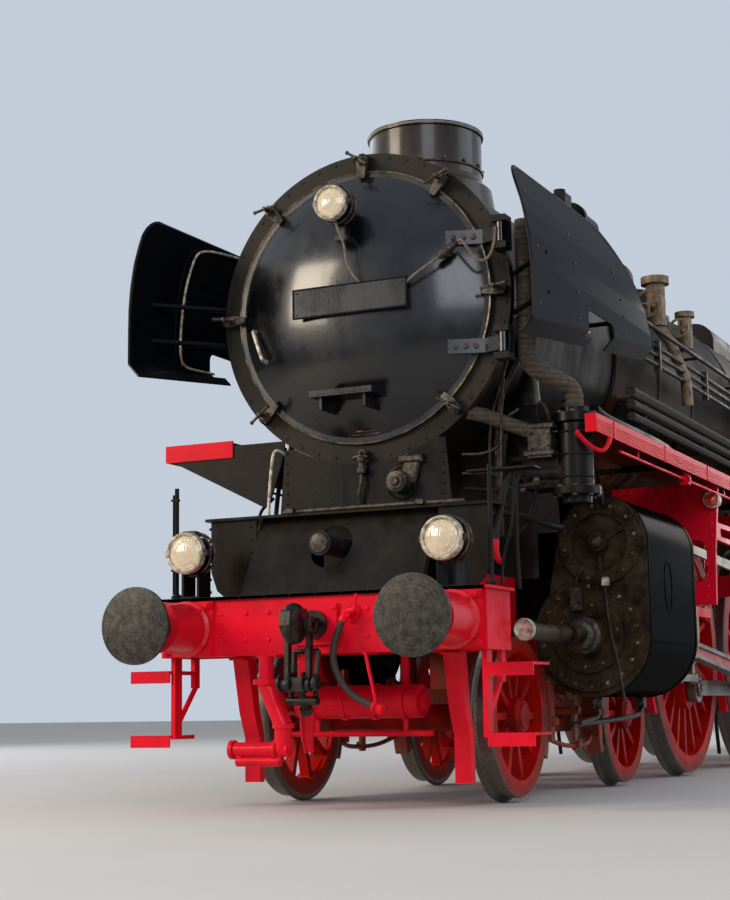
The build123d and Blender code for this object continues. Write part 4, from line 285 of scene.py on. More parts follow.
def turned(profile, sides=16):
    """Surface of revolution about Z: (r cos a, r sin a, h) for each pair (r, h) of the profile."""
    radius, height = np.asarray(profile, float).T[:, :, None]
    angle = np.linspace(0, 2 * np.pi, sides, endpoint=False)
    return lofted(np.stack([radius * np.cos(angle), radius * np.sin(angle), height + 0 * angle], axis=2))


def slab(width, depth, height, edge=0.003):
    """A plate on the XY plane: its outline at the foot and
    near the top, then drawn in by the edge's chamfer."""
    corner = np.array([(-1, -1), (1, -1), (1, 1), (-1, 1)]) * 0.5
    cut = np.array([(0, 0), (0, height - edge), (edge, height)])
    flat = corner[None] * (np.array((width, depth)) - 2 * cut[:, :1, None])
    return lofted(np.dstack([flat, np.repeat(cut[:, 1:], 4, axis=1)]))


def tube(route, radius, sides=10):
    """A round pipe along a route: its corners cut three
    times at their quarters, a circle about every point."""
    line = np.asarray(route, float)
    for _ in range(3):
        cut = np.stack([0.75 * line[:-1] + 0.25 * line[1:], 0.25 * line[:-1] + 0.75 * line[1:]],
                       axis=1).reshape(-1, 3)
        line = np.vstack([line[:1], cut, line[-1:]])
    ahead = np.gradient(line, axis=0)
    ahead /= np.linalg.norm(ahead, axis=1, keepdims=True)
    level = np.linalg.svd(ahead + 1e-4 * np.array((1.0, 2.0, 3.0)), full_matrices=True)[2][-1]
    side = np.cross(level, ahead)
    side /= np.linalg.norm(side, axis=1, keepdims=True)
    rise = np.cross(ahead, side)
    angle = np.linspace(0, 2 * np.pi, sides, endpoint=False)[None, :, None]
    return lofted(line[:, None] + radius * (np.cos(angle) * side[:, None] + np.sin(angle) * rise[:, None]))


def hoop(radius, thick, steps=96, sides=8):
    """A torus about Z: a circle of the wire's radius carried
    round a circle, its last loop joined to its first."""
    way, wire = np.meshgrid(np.linspace(0, 2 * np.pi, steps, endpoint=False),
                            np.linspace(0, 2 * np.pi, sides, endpoint=False), indexing="ij")
    reach = radius + thick * np.cos(wire)
    points = np.stack([reach * np.cos(way), reach * np.sin(way), thick * np.sin(wire)], axis=2).reshape(-1, 3)
    row, turn = np.meshgrid(np.arange(steps), np.arange(sides), indexing="ij")
    ahead, onward = (row + 1) % steps, (turn + 1) % sides
    quads = np.stack([row * sides + turn, ahead * sides + turn, ahead * sides + onward,
                      row * sides + onward], axis=2)
    return points, [quads.reshape(-1, 4)]


def set_out(shape, places, axes=(0, -1, 0), level=(0, 0, 1)):
    """Copies of a shape, its Z turned to each axis and its Y as near to level as that lets it."""
    points, blocks = shape
    places = np.atleast_2d(at(places))
    axes = np.broadcast_to(np.asarray(axes, float), places.shape)
    axes = axes / np.linalg.norm(axes, axis=1, keepdims=True)
    across = np.cross(np.broadcast_to(np.asarray(level, float), places.shape), axes)
    across = across / np.linalg.norm(across, axis=1, keepdims=True)
    turn = np.stack([across, np.cross(axes, across), axes], axis=1)
    start = np.arange(len(places))[:, None, None] * len(points)
    placed = (points @ turn + places[:, None]).reshape(-1, 3)
    return placed, [(block + start).reshape(-1, block.shape[1]) for block in blocks]


def make(name, body, material, *parts):
    """One piece from several skins, its flat faces kept crisp and its round ones smooth, riding on a body."""
    starts = np.cumsum([0] + [len(points) for points, _ in parts])
    faces = [face for (_, blocks), start in zip(parts, starts) for block in blocks
             for face in (block + start).tolist()]
    mesh = bpy.data.meshes.new(name)
    mesh.from_pydata(np.vstack([points for points, _ in parts]).tolist(), [], faces)
    mesh.shade_smooth()
    mesh.set_sharp_from_angle(angle=0.62)
    mesh.materials.append(material)
    made = bpy.data.objects.new(name, mesh)
    bpy.context.scene.collection.objects.link(made)
    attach(made, body)
    return made


def about(radius, degrees, behind, x=0.0, z=boiler_axis, side=1):
    """Places on a circle that faces forward: centre plus radius times cosine and sine of each angle."""
    angle = np.radians(np.asarray(degrees, float))
    return np.column_stack([side * (x + radius * np.cos(angle)), np.full(angle.size, behind),
                            z + radius * np.sin(angle)])


def rivet(radius):
    """A domed rivet head, its height three fifths of its radius."""
    return turned([(radius, -0.002), (radius * 0.93, radius * 0.25), (radius * 0.68, radius * 0.48),
                   (radius * 0.3, radius * 0.6)], 8)


def nut(radius):
    """A hexagon nut with its corners drawn in at the top."""
    return turned([(radius, -0.002), (radius, radius * 0.7), (radius * 0.84, radius * 0.85)], 6)


def stud_end(radius, height):
    """The rounded end of a stud above its nut."""
    return turned([(radius, 0.0), (radius, height - radius * 0.3), (radius * 0.7, height)], 10)


forged_brown, tree, place = finish_of("heat-browned forged fittings")
mottle = add(tree, "ShaderNodeTexNoise", {"Vector": place, "Scale": 26.0, "Detail": 7.0, "Roughness": 0.65})
share = add(tree, "ShaderNodeMapRange", {"Value": mottle.outputs["Fac"], "From Min": 0.38, "From Max": 0.66})
tone = add(tree, "ShaderNodeMix", {0: share.outputs[0], 6: linear("17130F"), 7: linear("5B5043")},
           data_type="RGBA").outputs[2]
rough = add(tree, "ShaderNodeMapRange", {"Value": mottle.outputs["Fac"], "To Min": 0.3, "To Max": 0.6})
scaled = add(tree, "ShaderNodeBump", {"Height": mottle.outputs["Fac"], "Strength": 0.3, "Distance": 0.002})
forged = add(tree, "ShaderNodeBsdfPrincipled", {"Base Color": tone, "Metallic": 0.45,
                                                "Roughness": rough.outputs[0], "Normal": scaled.outputs[0]})
add(tree, "ShaderNodeOutputMaterial", {"Surface": forged.outputs[0]})

ring_degrees = np.arange(3.0, 360.0, 7.5)
make("smokebox_ring_rivets", "engine", ring_enamel, set_out(rivet(0.011), about(0.982, ring_degrees, 1.308)))
clamp_degrees = (0, 52, 88, 132, 180, 224, 312)
handle_degrees = np.radians((8, 24, -35, 12, -6, 40, -28))
handle_ways = np.column_stack([np.cos(handle_degrees), 0 * handle_degrees, np.sin(handle_degrees)])
cross_bar = turned([(0.004, -0.088), (0.012, -0.084), (0.014, -0.076), (0.009, -0.064), (0.010, 0.0),
                    (0.009, 0.064), (0.014, 0.076), (0.012, 0.084), (0.004, 0.088)], 10)
swing = np.radians(clamp_degrees)
inward = np.column_stack([-np.cos(swing), 0 * swing, -np.sin(swing)])
# A dog is an oblong whose half width and half depth change with its height.
dog_corners = np.array([(-1, -1, 1), (1, -1, 1), (1, 1, 1), (-1, 1, 1)])
dog_levels = np.array([(0.030, 0.014, -0.03), (0.034, 0.017, 0.03), (0.026, 0.016, 0.085),
                       (0.020, 0.010, 0.115)])
dog = lofted(dog_corners * dog_levels[:, None])
make("door_clamp_screws", "engine", forged_brown,
     set_out(turned([(0.034, -0.002), (0.034, 0.006), (0.026, 0.008)], 16),
             about(0.948, clamp_degrees, 1.246)),
     set_out(nut(0.028), about(0.948, clamp_degrees, 1.239)),
     set_out(stud_end(0.014, 0.085), about(0.948, clamp_degrees, 1.230)),
     set_out(cross_bar, about(0.948, clamp_degrees, 1.168), handle_ways, (0, -1, 0)),
     set_out(dog, about(0.955, clamp_degrees, 1.262), inward, (0, -1, 0)))

# Smokebox door: pressed plate with a rolled edge that passing dogs have rubbed bright, and forged straps.
# Bolts fasten the straps; the blank plate has a raised rim and four screws, the step a turned-up lip.
rubbed_edge, tree, place = finish_of("rubbed door edge steel")
scrape = add(tree, "ShaderNodeTexNoise", {"Vector": place, "Scale": 14.0, "Detail": 8.0, "Roughness": 0.7})
bare = add(tree, "ShaderNodeMapRange", {"Value": scrape.outputs["Fac"], "From Min": 0.42, "From Max": 0.6})
tone = add(tree, "ShaderNodeMix", {0: bare.outputs[0], 6: linear("1E1914"), 7: linear("8C7656")},
           data_type="RGBA").outputs[2]
steel = add(tree, "ShaderNodeBsdfPrincipled", {"Base Color": tone, "Metallic": bare.outputs[0],
                                               "Roughness": 0.36})
add(tree, "ShaderNodeOutputMaterial", {"Surface": steel.outputs[0]})
make("door_edge_bead", "smokebox_door", rubbed_edge,
     set_out(hoop(0.8845, 0.007, 160), [(0, 1.2835, boiler_axis)]))

# A shape's own Z and Y axes on the engine where it stands upright.
upright = (0, 0, 1), (0, 1, 0)
strap_places = [(x, behind, boiler_axis + rise) for rise in (0.345, -0.345)
                for x, behind in ((0.675, 1.2095), (0.735, 1.2300), (0.795, 1.2505))]
make("door_strap_bolts", "smokebox_door", forged_brown,
     set_out(nut(0.019), strap_places, (0.32, -0.95, 0)),
     set_out(rivet(0.010), np.add(strap_places, (0, -0.013, 0)), (0.32, -0.95, 0)))
plate_middle, plate_half = np.array((0.0335, boiler_axis)), np.array((0.3985, 0.096))
bars = [set_out(slab(2 * plate_half[0], 0.010, 0.008), [(plate_middle[0], 1.0365, plate_middle[1] + rise)])
        for rise in (-0.091, 0.091)]
bars += [set_out(slab(0.010, 0.172, 0.008), [(plate_middle[0] + reach, 1.0365, plate_middle[1])])
         for reach in (-0.3935, 0.3935)]
make("plate_rim", "smokebox_door", apron_enamel, *bars)
make("plate_screws", "smokebox_door", forged_brown,
     set_out(rivet(0.009), [(x, 1.036, z) for x in (-0.335, 0.402) for z in (3.03, 3.17)]))
make("door_step_lip", "smokebox_door", door_enamel,
     set_out(slab(0.43, 0.010, 0.030, 0.002), [(0, 0.965, 2.488)], *upright),
     set_out(slab(0.010, 0.22, 0.030, 0.002), [(-0.209, 1.072, 2.488), (0.209, 1.072, 2.488)], *upright),
     set_out(rivet(0.010), [(x, behind, 2.49) for x in (-0.15, 0.15) for behind in (1.02, 1.10, 1.17)],
             *upright))
make("door_foot_latch", "smokebox_door", forged_brown,
     tube(at([(-0.045, 1.31, 2.30), (-0.04, 1.25, 2.285), (0.09, 1.25, 2.285), (0.095, 1.31, 2.30)]), 0.008),
     set_out(slab(0.19, 0.05, 0.012), [(0.025, 1.2835, 2.29)]),
     set_out(rivet(0.009), [(-0.055, 1.273, 2.29), (0.105, 1.273, 2.29)]))

# Its grip is a bent bar, worn bright in use.
worn_nickel, tree, place = finish_of("worn nickel lamp rim")
rub = add(tree, "ShaderNodeTexNoise", {"Vector": place, "Scale": 32.0, "Detail": 7.0})
bare = add(tree, "ShaderNodeMapRange", {"Value": rub.outputs["Fac"], "From Min": 0.36, "From Max": 0.62})
tone = add(tree, "ShaderNodeMix", {0: bare.outputs[0], 6: linear("D8CFBC"), 7: linear("8A7F6C")},
           data_type="RGBA").outputs[2]
rough = add(tree, "ShaderNodeMapRange", {"Value": rub.outputs["Fac"], "To Min": 0.35, "To Max": 0.65})
metal = add(tree, "ShaderNodeBsdfPrincipled", {"Base Color": tone, "Metallic": 0.35,
                                               "Roughness": rough.outputs[0]})
add(tree, "ShaderNodeOutputMaterial", {"Surface": metal.outputs[0]})
make("door_grip_sleeve", "smokebox_door", worn_nickel,
     tube(at([(-0.735, 1.290, 3.000), (-0.735, 1.190, 3.000), (-0.732, 1.176, 2.990), (-0.653, 1.148, 2.800),
              (-0.650, 1.160, 2.790), (-0.650, 1.280, 2.790)]), 0.0125, 12))

# Lamp leads: rubber cable on the door from the top lamp to the plate, and on by a plug to the hinge side.
# The eye gets thin pale-worn cable, with a stubby knurled plug halfway.
cable_rubber, tree, place = finish_of("weather-greyed cable rubber")
fade = add(tree, "ShaderNodeTexNoise", {"Vector": place, "Scale": 40.0, "Detail": 4.0})
tone = add(tree, "ShaderNodeMix", {0: fade.outputs["Fac"], 6: linear("2A2620"), 7: linear("8A7D6A")},
           data_type="RGBA").outputs[2]
sheath = add(tree, "ShaderNodeBsdfPrincipled", {"Base Color": tone, "Roughness": 0.55})
add(tree, "ShaderNodeOutputMaterial", {"Surface": sheath.outputs[0]})
lamp_lead = tube(at([(-0.02, 0.96, 3.60), (0.00, 0.95, 3.53), (0.035, 0.98, 3.43), (0.034, 1.00, 3.32),
                     (0.075, 1.02, 3.23), (0.112, 1.045, 3.185)]), 0.009)
plug_lead = tube(at([(0.42, 1.045, 3.150), (0.47, 1.04, 3.19), (0.565, 1.055, 3.25), (0.626, 1.08, 3.293)]),
                 0.009)
loop_lead = tube(at([(0.739, 1.14, 3.40), (0.770, 1.12, 3.40), (0.809, 1.15, 3.323), (0.870, 1.17, 3.255),
                     (0.925, 1.19, 3.285), (0.955, 1.20, 3.380), (0.963, 1.20, 3.472)]), 0.010)
make("door_lamp_leads", "smokebox_door", cable_rubber, lamp_lead, plug_lead, loop_lead)
plug_way = np.array((0.113, 0.06, 0.107))
make("lamp_lead_plug", "smokebox_door", forged_brown,
     set_out(turned([(0.014, 0.0), (0.022, 0.012), (0.028, 0.03), (0.028, 0.065), (0.034, 0.07),
                     (0.034, 0.095), (0.026, 0.10), (0.024, 0.14), (0.012, 0.155)], 14),
             [(0.626, 1.08, 3.293)], plug_way))

# Lamps: spun steel drums with a nickel-worn rim round pressed, crowned glass, hung in a strap bracket.
# The eye gets a warm white disc with faint pressed rings, a pale ring round it and a dark drum behind.
lamp_glass, tree, place = finish_of("pressed cream lamp glass")
frost = add(tree, "ShaderNodeTexNoise", {"Vector": place, "Scale": 30.0, "Detail": 5.0})
tone = add(tree, "ShaderNodeMix", {0: frost.outputs["Fac"], 6: linear("EADCC0"), 7: linear("B8A888")},
           data_type="RGBA").outputs[2]
pressed = add(tree, "ShaderNodeTexWave", {"Vector": place, "Scale": 20.0, "Distortion": 3.0},
              bands_direction="X")
rings = add(tree, "ShaderNodeBump", {"Height": pressed.outputs["Fac"], "Strength": 0.3, "Distance": 0.003})
lens = add(tree, "ShaderNodeBsdfPrincipled", {"Base Color": tone, "Roughness": 0.12,
                                              "Normal": rings.outputs[0], "Coat Weight": 0.8,
                                              "Coat Roughness": 0.03})
add(tree, "ShaderNodeOutputMaterial", {"Surface": lens.outputs[0]})


def lamp_front(radius):
    """Crowned glass with two pressed steps, and the rim that holds it, both about the lamp's axis."""
    glass = turned([(radius * 0.86, -0.004), (radius * 0.86, 0.004), (radius * 0.74, 0.012),
                    (radius * 0.72, 0.010), (radius * 0.5, 0.020), (radius * 0.48, 0.018),
                    (radius * 0.24, 0.026), (radius * 0.06, 0.028)], 40)
    rim = turned([(radius * 0.84, 0.0), (radius * 0.86, 0.014), (radius * 0.93, 0.020),
                  (radius * 1.01, 0.014), (radius * 1.03, -0.004), (radius * 1.03, -0.030),
                  (radius * 0.99, -0.034)], 40)
    return glass, rim


for name, body, x, behind, z, radius in (("top", "smokebox_door", -0.018, 0.890, 3.686, 0.108),
                                         ("left", "engine", 0.820, 0.580, 1.512, 0.125),
                                         ("right", "engine", -0.880, 0.580, 1.512, 0.125)):
    glass, rim = lamp_front(radius)
    middle = np.array((x, behind, z))
    make(f"{name}_lamp_glass", body, lamp_glass, set_out(glass, [middle]))
    make(f"{name}_lamp_rim", body, worn_nickel, set_out(rim, [middle]))
    make(f"{name}_lamp_fittings", body, forged_brown,
         set_out(hoop(radius * 1.06, 0.008, 48), [middle + (0, 0.085, 0), middle + (0, 0.135, 0)]),
         set_out(slab(0.10, 0.07, 0.035, 0.01), [middle + (0, 0.07, radius * 0.84)], *upright),
         set_out(slab(0.05, 0.04, 0.030, 0.006), [middle + (radius * 0.93, 0.03, 0),
                                                  middle + (-radius * 0.93, 0.03, 0)],
                 [(1, 0, 0), (-1, 0, 0)]),
         set_out(nut(0.016), [middle + (radius * 1.1, 0.03, 0), middle + (-radius * 1.1, 0.03, 0)],
                 [(1, 0, 0), (-1, 0, 0)]))
make("beam_lamp_conduits", "engine", cable_rubber,
     *[tube(at([(x + 0.03, 0.74, 1.40), (x + 0.05, 0.76, 1.36), (x + 0.02, 0.77, 1.30),
                (x + 0.03, 0.74, 1.24)]), 0.011) for x in (0.82, -0.88)])

# Front deck: the sloping apron and its side boxes are thin plate, riveted to angles, painted black.
# The eye gets scratched satin paint, rows of small heads, and the loose pipes clipped along the ledge.
side_boxes = [(side * x, 1.010, z) for side in (1, -1) for x in (0.66, 0.955)
              for z in np.arange(1.30, 1.72, 0.08)]
saddle = [(side * 0.545, 1.285, z) for side in (1, -1) for z in np.arange(1.80, 2.20, 0.065)]
saddle += [(x, 1.285, 1.785) for x in np.arange(-0.48, 0.5, 0.08)]
make("deck_plate_rivets", "engine", apron_enamel, set_out(rivet(0.010), side_boxes),
     set_out(rivet(0.011), saddle))
make("ledge_rod", "engine", forged_brown,
     tube(at([(-0.42, 0.990, 1.772), (-0.1, 0.985, 1.774), (0.45, 0.985, 1.774), (0.80, 0.990, 1.772)]),
          0.013),
     set_out(slab(0.05, 0.06, 0.030, 0.006), [(0.52, 0.985, 1.765), (-0.36, 0.985, 1.765)], *upright))
make("tail_rod_cap_nut", "engine", forged_brown,
     set_out(turned([(0.060, -0.002), (0.058, 0.008), (0.040, 0.014)], 24), [(-0.060, 0.773, 1.547)]))

# Saddle front: a cover over the blast pipe's drain, with a cleaning plug in its arched opening, and
# a small cock. Cast and turned pieces, brown with dried oil where they have wept down the plate.
plug_mouth = turned([(0.108, -0.002), (0.108, 0.010), (0.098, 0.012), (0.094, 0.002)], 32)
plug_body = turned([(0.072, -0.002), (0.072, 0.085), (0.064, 0.095), (0.052, 0.097), (0.050, 0.110),
                    (0.030, 0.112)], 24)
make("saddle_plug", "engine", forged_brown, set_out(plug_body, [(0.262, 1.285, 1.945)]),
     set_out(nut(0.030), [(0.262, 1.180, 1.945)]),
     set_out(slab(0.11, 0.19, 0.030, 0.012), [(0.330, 1.285, 2.030)], (0, -1, 0), (0.25, 0, 1)),
     set_out(slab(0.16, 0.05, 0.045, 0.012), [(0.335, 1.285, 2.09)]))
make("saddle_plug_mouth", "engine", soot_enamel, set_out(plug_mouth, [(0.262, 1.284, 1.945)]))
make("saddle_cock", "engine", forged_brown,
     set_out(turned([(0.030, 0.0), (0.032, 0.03), (0.020, 0.035), (0.020, 0.07), (0.030, 0.075),
                     (0.030, 0.10), (0.014, 0.105)], 12), [(0.0, 1.250, 2.02)], *upright),
     set_out(nut(0.030), [(0.0, 1.285, 2.06), (0.0, 1.285, 2.15)]),
     tube(at([(0.0, 1.250, 2.02), (0.0, 1.245, 1.95), (-0.02, 1.25, 1.90), (-0.02, 1.262, 1.83)]), 0.011),
     tube(at([(-0.05, 1.235, 2.12), (0.0, 1.23, 2.13), (0.05, 1.235, 2.12)]), 0.008),
     set_out(stud_end(0.012, 0.06), [(0.0, 1.28, 2.15)]))

# Buffer beam: riveted box section in signal red, the buffers bolted on through square plates.
# The eye gets round heads under thick paint, four to a plate, and a black angle along the top edge.
hook_side = [(x, 0.596, z) for x in (-0.118, 0.118) for z in (0.955, 1.145)]
beam_heads = [(side * x, 0.620, z) for side in (1, -1) for x in (0.655, 0.478, 0.325) for z in (0.973, 1.133)]
beam_foot = [(x, 0.620, 0.905) for x in np.arange(-0.60, 0.61, 0.15)]
plate_bolts = [(side * x, 0.602, z) for side in (1, -1) for x in (0.730, 1.022) for z in (0.915, 1.188)]
make("buffer_beam_rivets", "engine", signal_enamel, set_out(rivet(0.017), beam_heads),
     set_out(rivet(0.015), hook_side), set_out(rivet(0.008), beam_foot))
flange_bolts = np.vstack([about(0.150, (45, 135, 225, 315), 0.560, 0.875, 1.05, side) for side in (1, -1)])
make("buffer_plate_bolts", "engine", signal_enamel, set_out(nut(0.026), plate_bolts),
     set_out(stud_end(0.014, 0.036), plate_bolts), set_out(nut(0.018), flange_bolts))
make("beam_top_angle", "engine", apron_enamel,
     set_out(slab(2.14, 0.022, 0.016, 0.003), [(0, 0.612, 1.228)]),
     set_out(rivet(0.008), [(x, 0.600, 1.228) for x in np.arange(-1.02, 1.03, 0.17)]))

# Buffers: spring-steel heads rubbed bare and brown, in housings painted red with the beam.
# The eye gets concentric scuffs and pale nicks on a dull dark disc, and fresh red from the plunger back.
buffer_finish, tree, place = finish_of("scuffed buffer heads on red housings")
split = add(tree, "ShaderNodeSeparateXYZ", {0: place})
side = add(tree, "ShaderNodeMath", {0: split.outputs["X"]}, operation="ABSOLUTE")
across = add(tree, "ShaderNodeMath", {0: side.outputs[0], 1: 0.875}, operation="SUBTRACT")
height = add(tree, "ShaderNodeMath", {0: split.outputs["Z"], 1: 1.078}, operation="SUBTRACT")
level = add(tree, "ShaderNodeCombineXYZ", {"X": across.outputs[0], "Y": height.outputs[0]})
reach = add(tree, "ShaderNodeVectorMath", {0: level.outputs[0]}, operation="LENGTH").outputs["Value"]
rub = add(tree, "ShaderNodeTexNoise", {"Vector": place, "Scale": 24.0, "Detail": 8.0, "Roughness": 0.7})
rings = add(tree, "ShaderNodeMath", {0: reach, 1: 260.0}, operation="MULTIPLY")
turned_marks = add(tree, "ShaderNodeMath", {0: rings.outputs[0]}, operation="SINE")
scuffs = add(tree, "ShaderNodeMath", {0: turned_marks.outputs[0], 1: 0.025, 2: rub.outputs["Fac"]},
             operation="MULTIPLY_ADD")
share = add(tree, "ShaderNodeMapRange", {"Value": scuffs.outputs[0], "From Min": 0.38, "From Max": 0.72})
bare = add(tree, "ShaderNodeMix", {0: share.outputs[0], 6: linear("1F1D1A"), 7: linear("4E4A43")},
           data_type="RGBA").outputs[2]
cells = add(tree, "ShaderNodeTexVoronoi", {"Vector": place, "Scale": 70.0})
nick = add(tree, "ShaderNodeMapRange", {"Value": cells.outputs["Distance"], "From Min": 0.14,
                                        "From Max": 0.06, "To Max": 0.6})
bare = add(tree, "ShaderNodeMix", {0: nick.outputs[0], 6: bare, 7: linear("A59D90")},
           data_type="RGBA").outputs[2]
red = add(tree, "ShaderNodeMix", {0: rub.outputs["Fac"], 6: linear("E8122A"), 7: linear("BE0E1C")},
          data_type="RGBA").outputs[2]
plunger = at([(0, 0.245, 0)])[0][1]
housing = add(tree, "ShaderNodeMath", {0: split.outputs["Y"], 1: float(plunger)}, operation="GREATER_THAN")
tone = add(tree, "ShaderNodeMix", {0: housing.outputs[0], 6: bare, 7: red}, data_type="RGBA").outputs[2]
rough = add(tree, "ShaderNodeMapRange", {"Value": housing.outputs[0], "To Min": 0.5, "To Max": 0.3})
worn = add(tree, "ShaderNodeMapRange", {"Value": housing.outputs[0], "To Min": 0.55, "To Max": 0.0})
dinge = add(tree, "ShaderNodeBump", {"Height": scuffs.outputs[0], "Strength": 0.25, "Distance": 0.002})
face = add(tree, "ShaderNodeBsdfPrincipled", {"Base Color": tone, "Roughness": rough.outputs[0],
                                              "Metallic": worn.outputs[0], "Normal": dinge.outputs[0]})
add(tree, "ShaderNodeOutputMaterial", {"Surface": face.outputs[0]})
dress(buffer_finish, "buffers")

# Draw gear: forged hook, links and screw, black with grease and never painted.
# The eye gets a dark brown-grey with a wet sheen on the rubbed edges and crowns.
greased_forging, tree, place = finish_of("greased draw gear forgings")
smears = add(tree, "ShaderNodeTexNoise", {"Vector": place, "Scale": 18.0, "Detail": 8.0})
share = add(tree, "ShaderNodeMapRange", {"Value": smears.outputs["Fac"], "From Min": 0.4, "From Max": 0.68})
tone = add(tree, "ShaderNodeMix", {0: share.outputs[0], 6: linear("0B0A09"), 7: linear("352D25")},
           data_type="RGBA").outputs[2]
rough = add(tree, "ShaderNodeMapRange", {"Value": smears.outputs["Fac"], "To Min": 0.2, "To Max": 0.65})
forged = add(tree, "ShaderNodeBump", {"Height": smears.outputs["Fac"], "Strength": 0.35, "Distance": 0.003})
iron = add(tree, "ShaderNodeBsdfPrincipled", {"Base Color": tone, "Metallic": 0.35,
                                              "Roughness": rough.outputs[0], "Normal": forged.outputs[0]})
add(tree, "ShaderNodeOutputMaterial", {"Surface": iron.outputs[0]})
dress(greased_forging, "draw_gear")

# The horn is a round forging, and every pin has a dished head outside its link eye.
hook_nose = float(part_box("draw_gear")[0][1] - DATUM[1])
horn = turned([(0.050, -0.050), (0.092, -0.044), (0.112, -0.028), (0.120, 0.0), (0.112, 0.028),
               (0.092, 0.044), (0.050, 0.050)], 36)
pin_head = turned([(0.050, -0.002), (0.050, 0.008), (0.044, 0.016), (0.022, 0.019), (0.020, 0.010),
                   (0.006, 0.010)], 20)
upper_pin, lower_pin = (hook_nose + 0.181, 1.036), (hook_nose + 0.169, 0.710)
make("hook_and_pin_heads", "engine", greased_forging,
     set_out(horn, [(0.0, hook_nose + 0.120, 1.044)], (1, 0, 0)),
     *[set_out(pin_head, [(side * x, *pin)], (side, 0, 0)) for side in (1, -1)
       for x, pin in ((0.082, upper_pin), (0.110, lower_pin))],
     set_out(hoop(0.050, 0.012, 28), [(x, *lower_pin) for x in (-0.042, 0.042)], (1, 0, 0)))

# Corner posts: bar posts in turned collars, one with a tread plate clamped to its head, and stayed.
# Painted black, they are thin uprights, with a plate that reads as a short dark line on the left.
collar = turned([(0.036, -0.002), (0.036, 0.010), (0.022, 0.022), (0.016, 0.024)], 14)
make("corner_post_fittings", "engine", soot_enamel,
     set_out(slab(0.420, 0.100, 0.012, 0.004), [(1.120, 0.800, 1.904)], *upright),
     set_out(slab(0.014, 0.110, 0.050, 0.004), [(1.068, 0.800, 1.874)], *upright),
     tube(at([(1.170, 0.830, 1.900), (1.165, 0.830, 1.60), (1.095, 0.830, 1.42), (1.085, 0.830, 1.252)]),
          0.009),
     tube(at([(-1.072, 0.760, 1.252), (-1.072, 0.760, 1.60), (-1.072, 0.760, 1.900)]), 0.008),
     set_out(slab(0.050, 0.030, 0.014, 0.004), [(-1.060, 0.760, z) for z in (1.42, 1.86)], *upright),
     set_out(collar, [(x, 0.760, 1.255) for x in (-1.050, 1.050)], *upright))

# Right deck: a bent grab pipe worn to bare steel, and two sand drains, between ledge and board.
# The eye gets one short pale hook shape, with dull pipes close behind it.
make("right_deck_grab_pipe", "engine", worn_nickel,
     tube(at([(-0.575, 1.330, 2.190), (-0.610, 1.262, 2.222), (-0.632, 1.250, 2.190), (-0.650, 1.250, 2.030),
              (-0.668, 1.258, 1.880), (-0.672, 1.265, 1.764)]), 0.011))
make("right_deck_drains", "engine", soot_enamel,
     tube(at([(-0.650, 1.45, 2.26), (-0.668, 1.45, 2.12), (-0.690, 1.42, 1.96), (-0.700, 1.38, 1.60)]),
          0.016),
     tube(at([(-0.600, 1.46, 2.28), (-0.618, 1.46, 2.18), (-0.640, 1.44, 2.00), (-0.640, 1.40, 1.60)]),
          0.022))

# Chimney: rolled plate with a rim bar riveted round its mouth, greyed by exhaust steam.
# The eye gets a pale dry ring above the dark stack, and bolt heads round the flare.
chimney_rim = set_out(hoop(0.399, 0.013, 72), [(0, 2.374, 4.535)], *upright)
rim_grey, tree, place = finish_of("steam-greyed chimney rim")
salts = add(tree, "ShaderNodeTexNoise", {"Vector": place, "Scale": 34.0, "Detail": 8.0, "Roughness": 0.7})
tone = add(tree, "ShaderNodeMix", {0: salts.outputs["Fac"], 6: linear("3A352E"), 7: linear("A39A8A")},
           data_type="RGBA").outputs[2]
crust = add(tree, "ShaderNodeBump", {"Height": salts.outputs["Fac"], "Strength": 0.5, "Distance": 0.003})
dry = add(tree, "ShaderNodeBsdfPrincipled", {"Base Color": tone, "Roughness": 0.75,
                                             "Normal": crust.outputs[0]})
add(tree, "ShaderNodeOutputMaterial", {"Surface": dry.outputs[0]})
make("chimney_rim_bar", "engine", rim_grey, chimney_rim)
stack_turn = np.radians(np.arange(0, 360, 24))
stack_out = np.column_stack([np.cos(stack_turn), np.sin(stack_turn), 0 * stack_turn])
make("chimney_bolts", "engine", forged_brown,
     set_out(nut(0.016), stack_out * 0.396 + (0, 2.374, 4.285), stack_out),
     set_out(hoop(0.400, 0.008, 72), [(0, 2.374, 4.262)], *upright))

# Wing plates: pressed sheet with a half-round bead riveted to its edge and round-headed bolts into the stays.
# The eye gets a thin dark outline with a glint on it, and two columns of small brown heads.
spine_z = np.array((2.700, 3.110, 3.260, 3.410, 3.530, 3.645, 3.740))
spine_x = np.array((1.376, 1.376, 1.364, 1.338, 1.303, 1.262, 1.228))
edge_line = np.array([(0.696, 2.760), (0.696, 3.10), (0.696, 3.40), (0.698, 3.56), (0.722, 3.650),
                      (0.790, 3.700), (0.880, 3.708), (1.50, 3.717), (2.10, 3.725), (2.45, 3.690),
                      (2.74, 3.578), (2.92, 3.42), (3.030, 3.246), (3.132, 3.040)])
beads = []
for side in (1, -1):
    edge_x = side * (np.interp(edge_line[:, 1], spine_z, spine_x) - 0.004)
    beads.append(tube(at(np.column_stack([edge_x, edge_line])), 0.008, 8))
make("wing_plate_beads", "engine", soot_enamel, *beads)
heads = np.array([(1.49, 3.45), (1.50, 3.26), (1.50, 3.08), (1.51, 2.91), (2.36, 3.40), (2.44, 3.23),
                  (2.47, 3.12), (2.47, 3.01), (0.80, 3.55), (0.80, 3.20), (0.80, 2.86)])
head_x = np.interp(heads[:, 1], spine_z, spine_x)
make("wing_plate_bolts", "engine", forged_brown,
     *[set_out(rivet(0.011), np.column_stack([side * head_x, heads]), (side, 0, 0.1)) for side in (1, -1)])

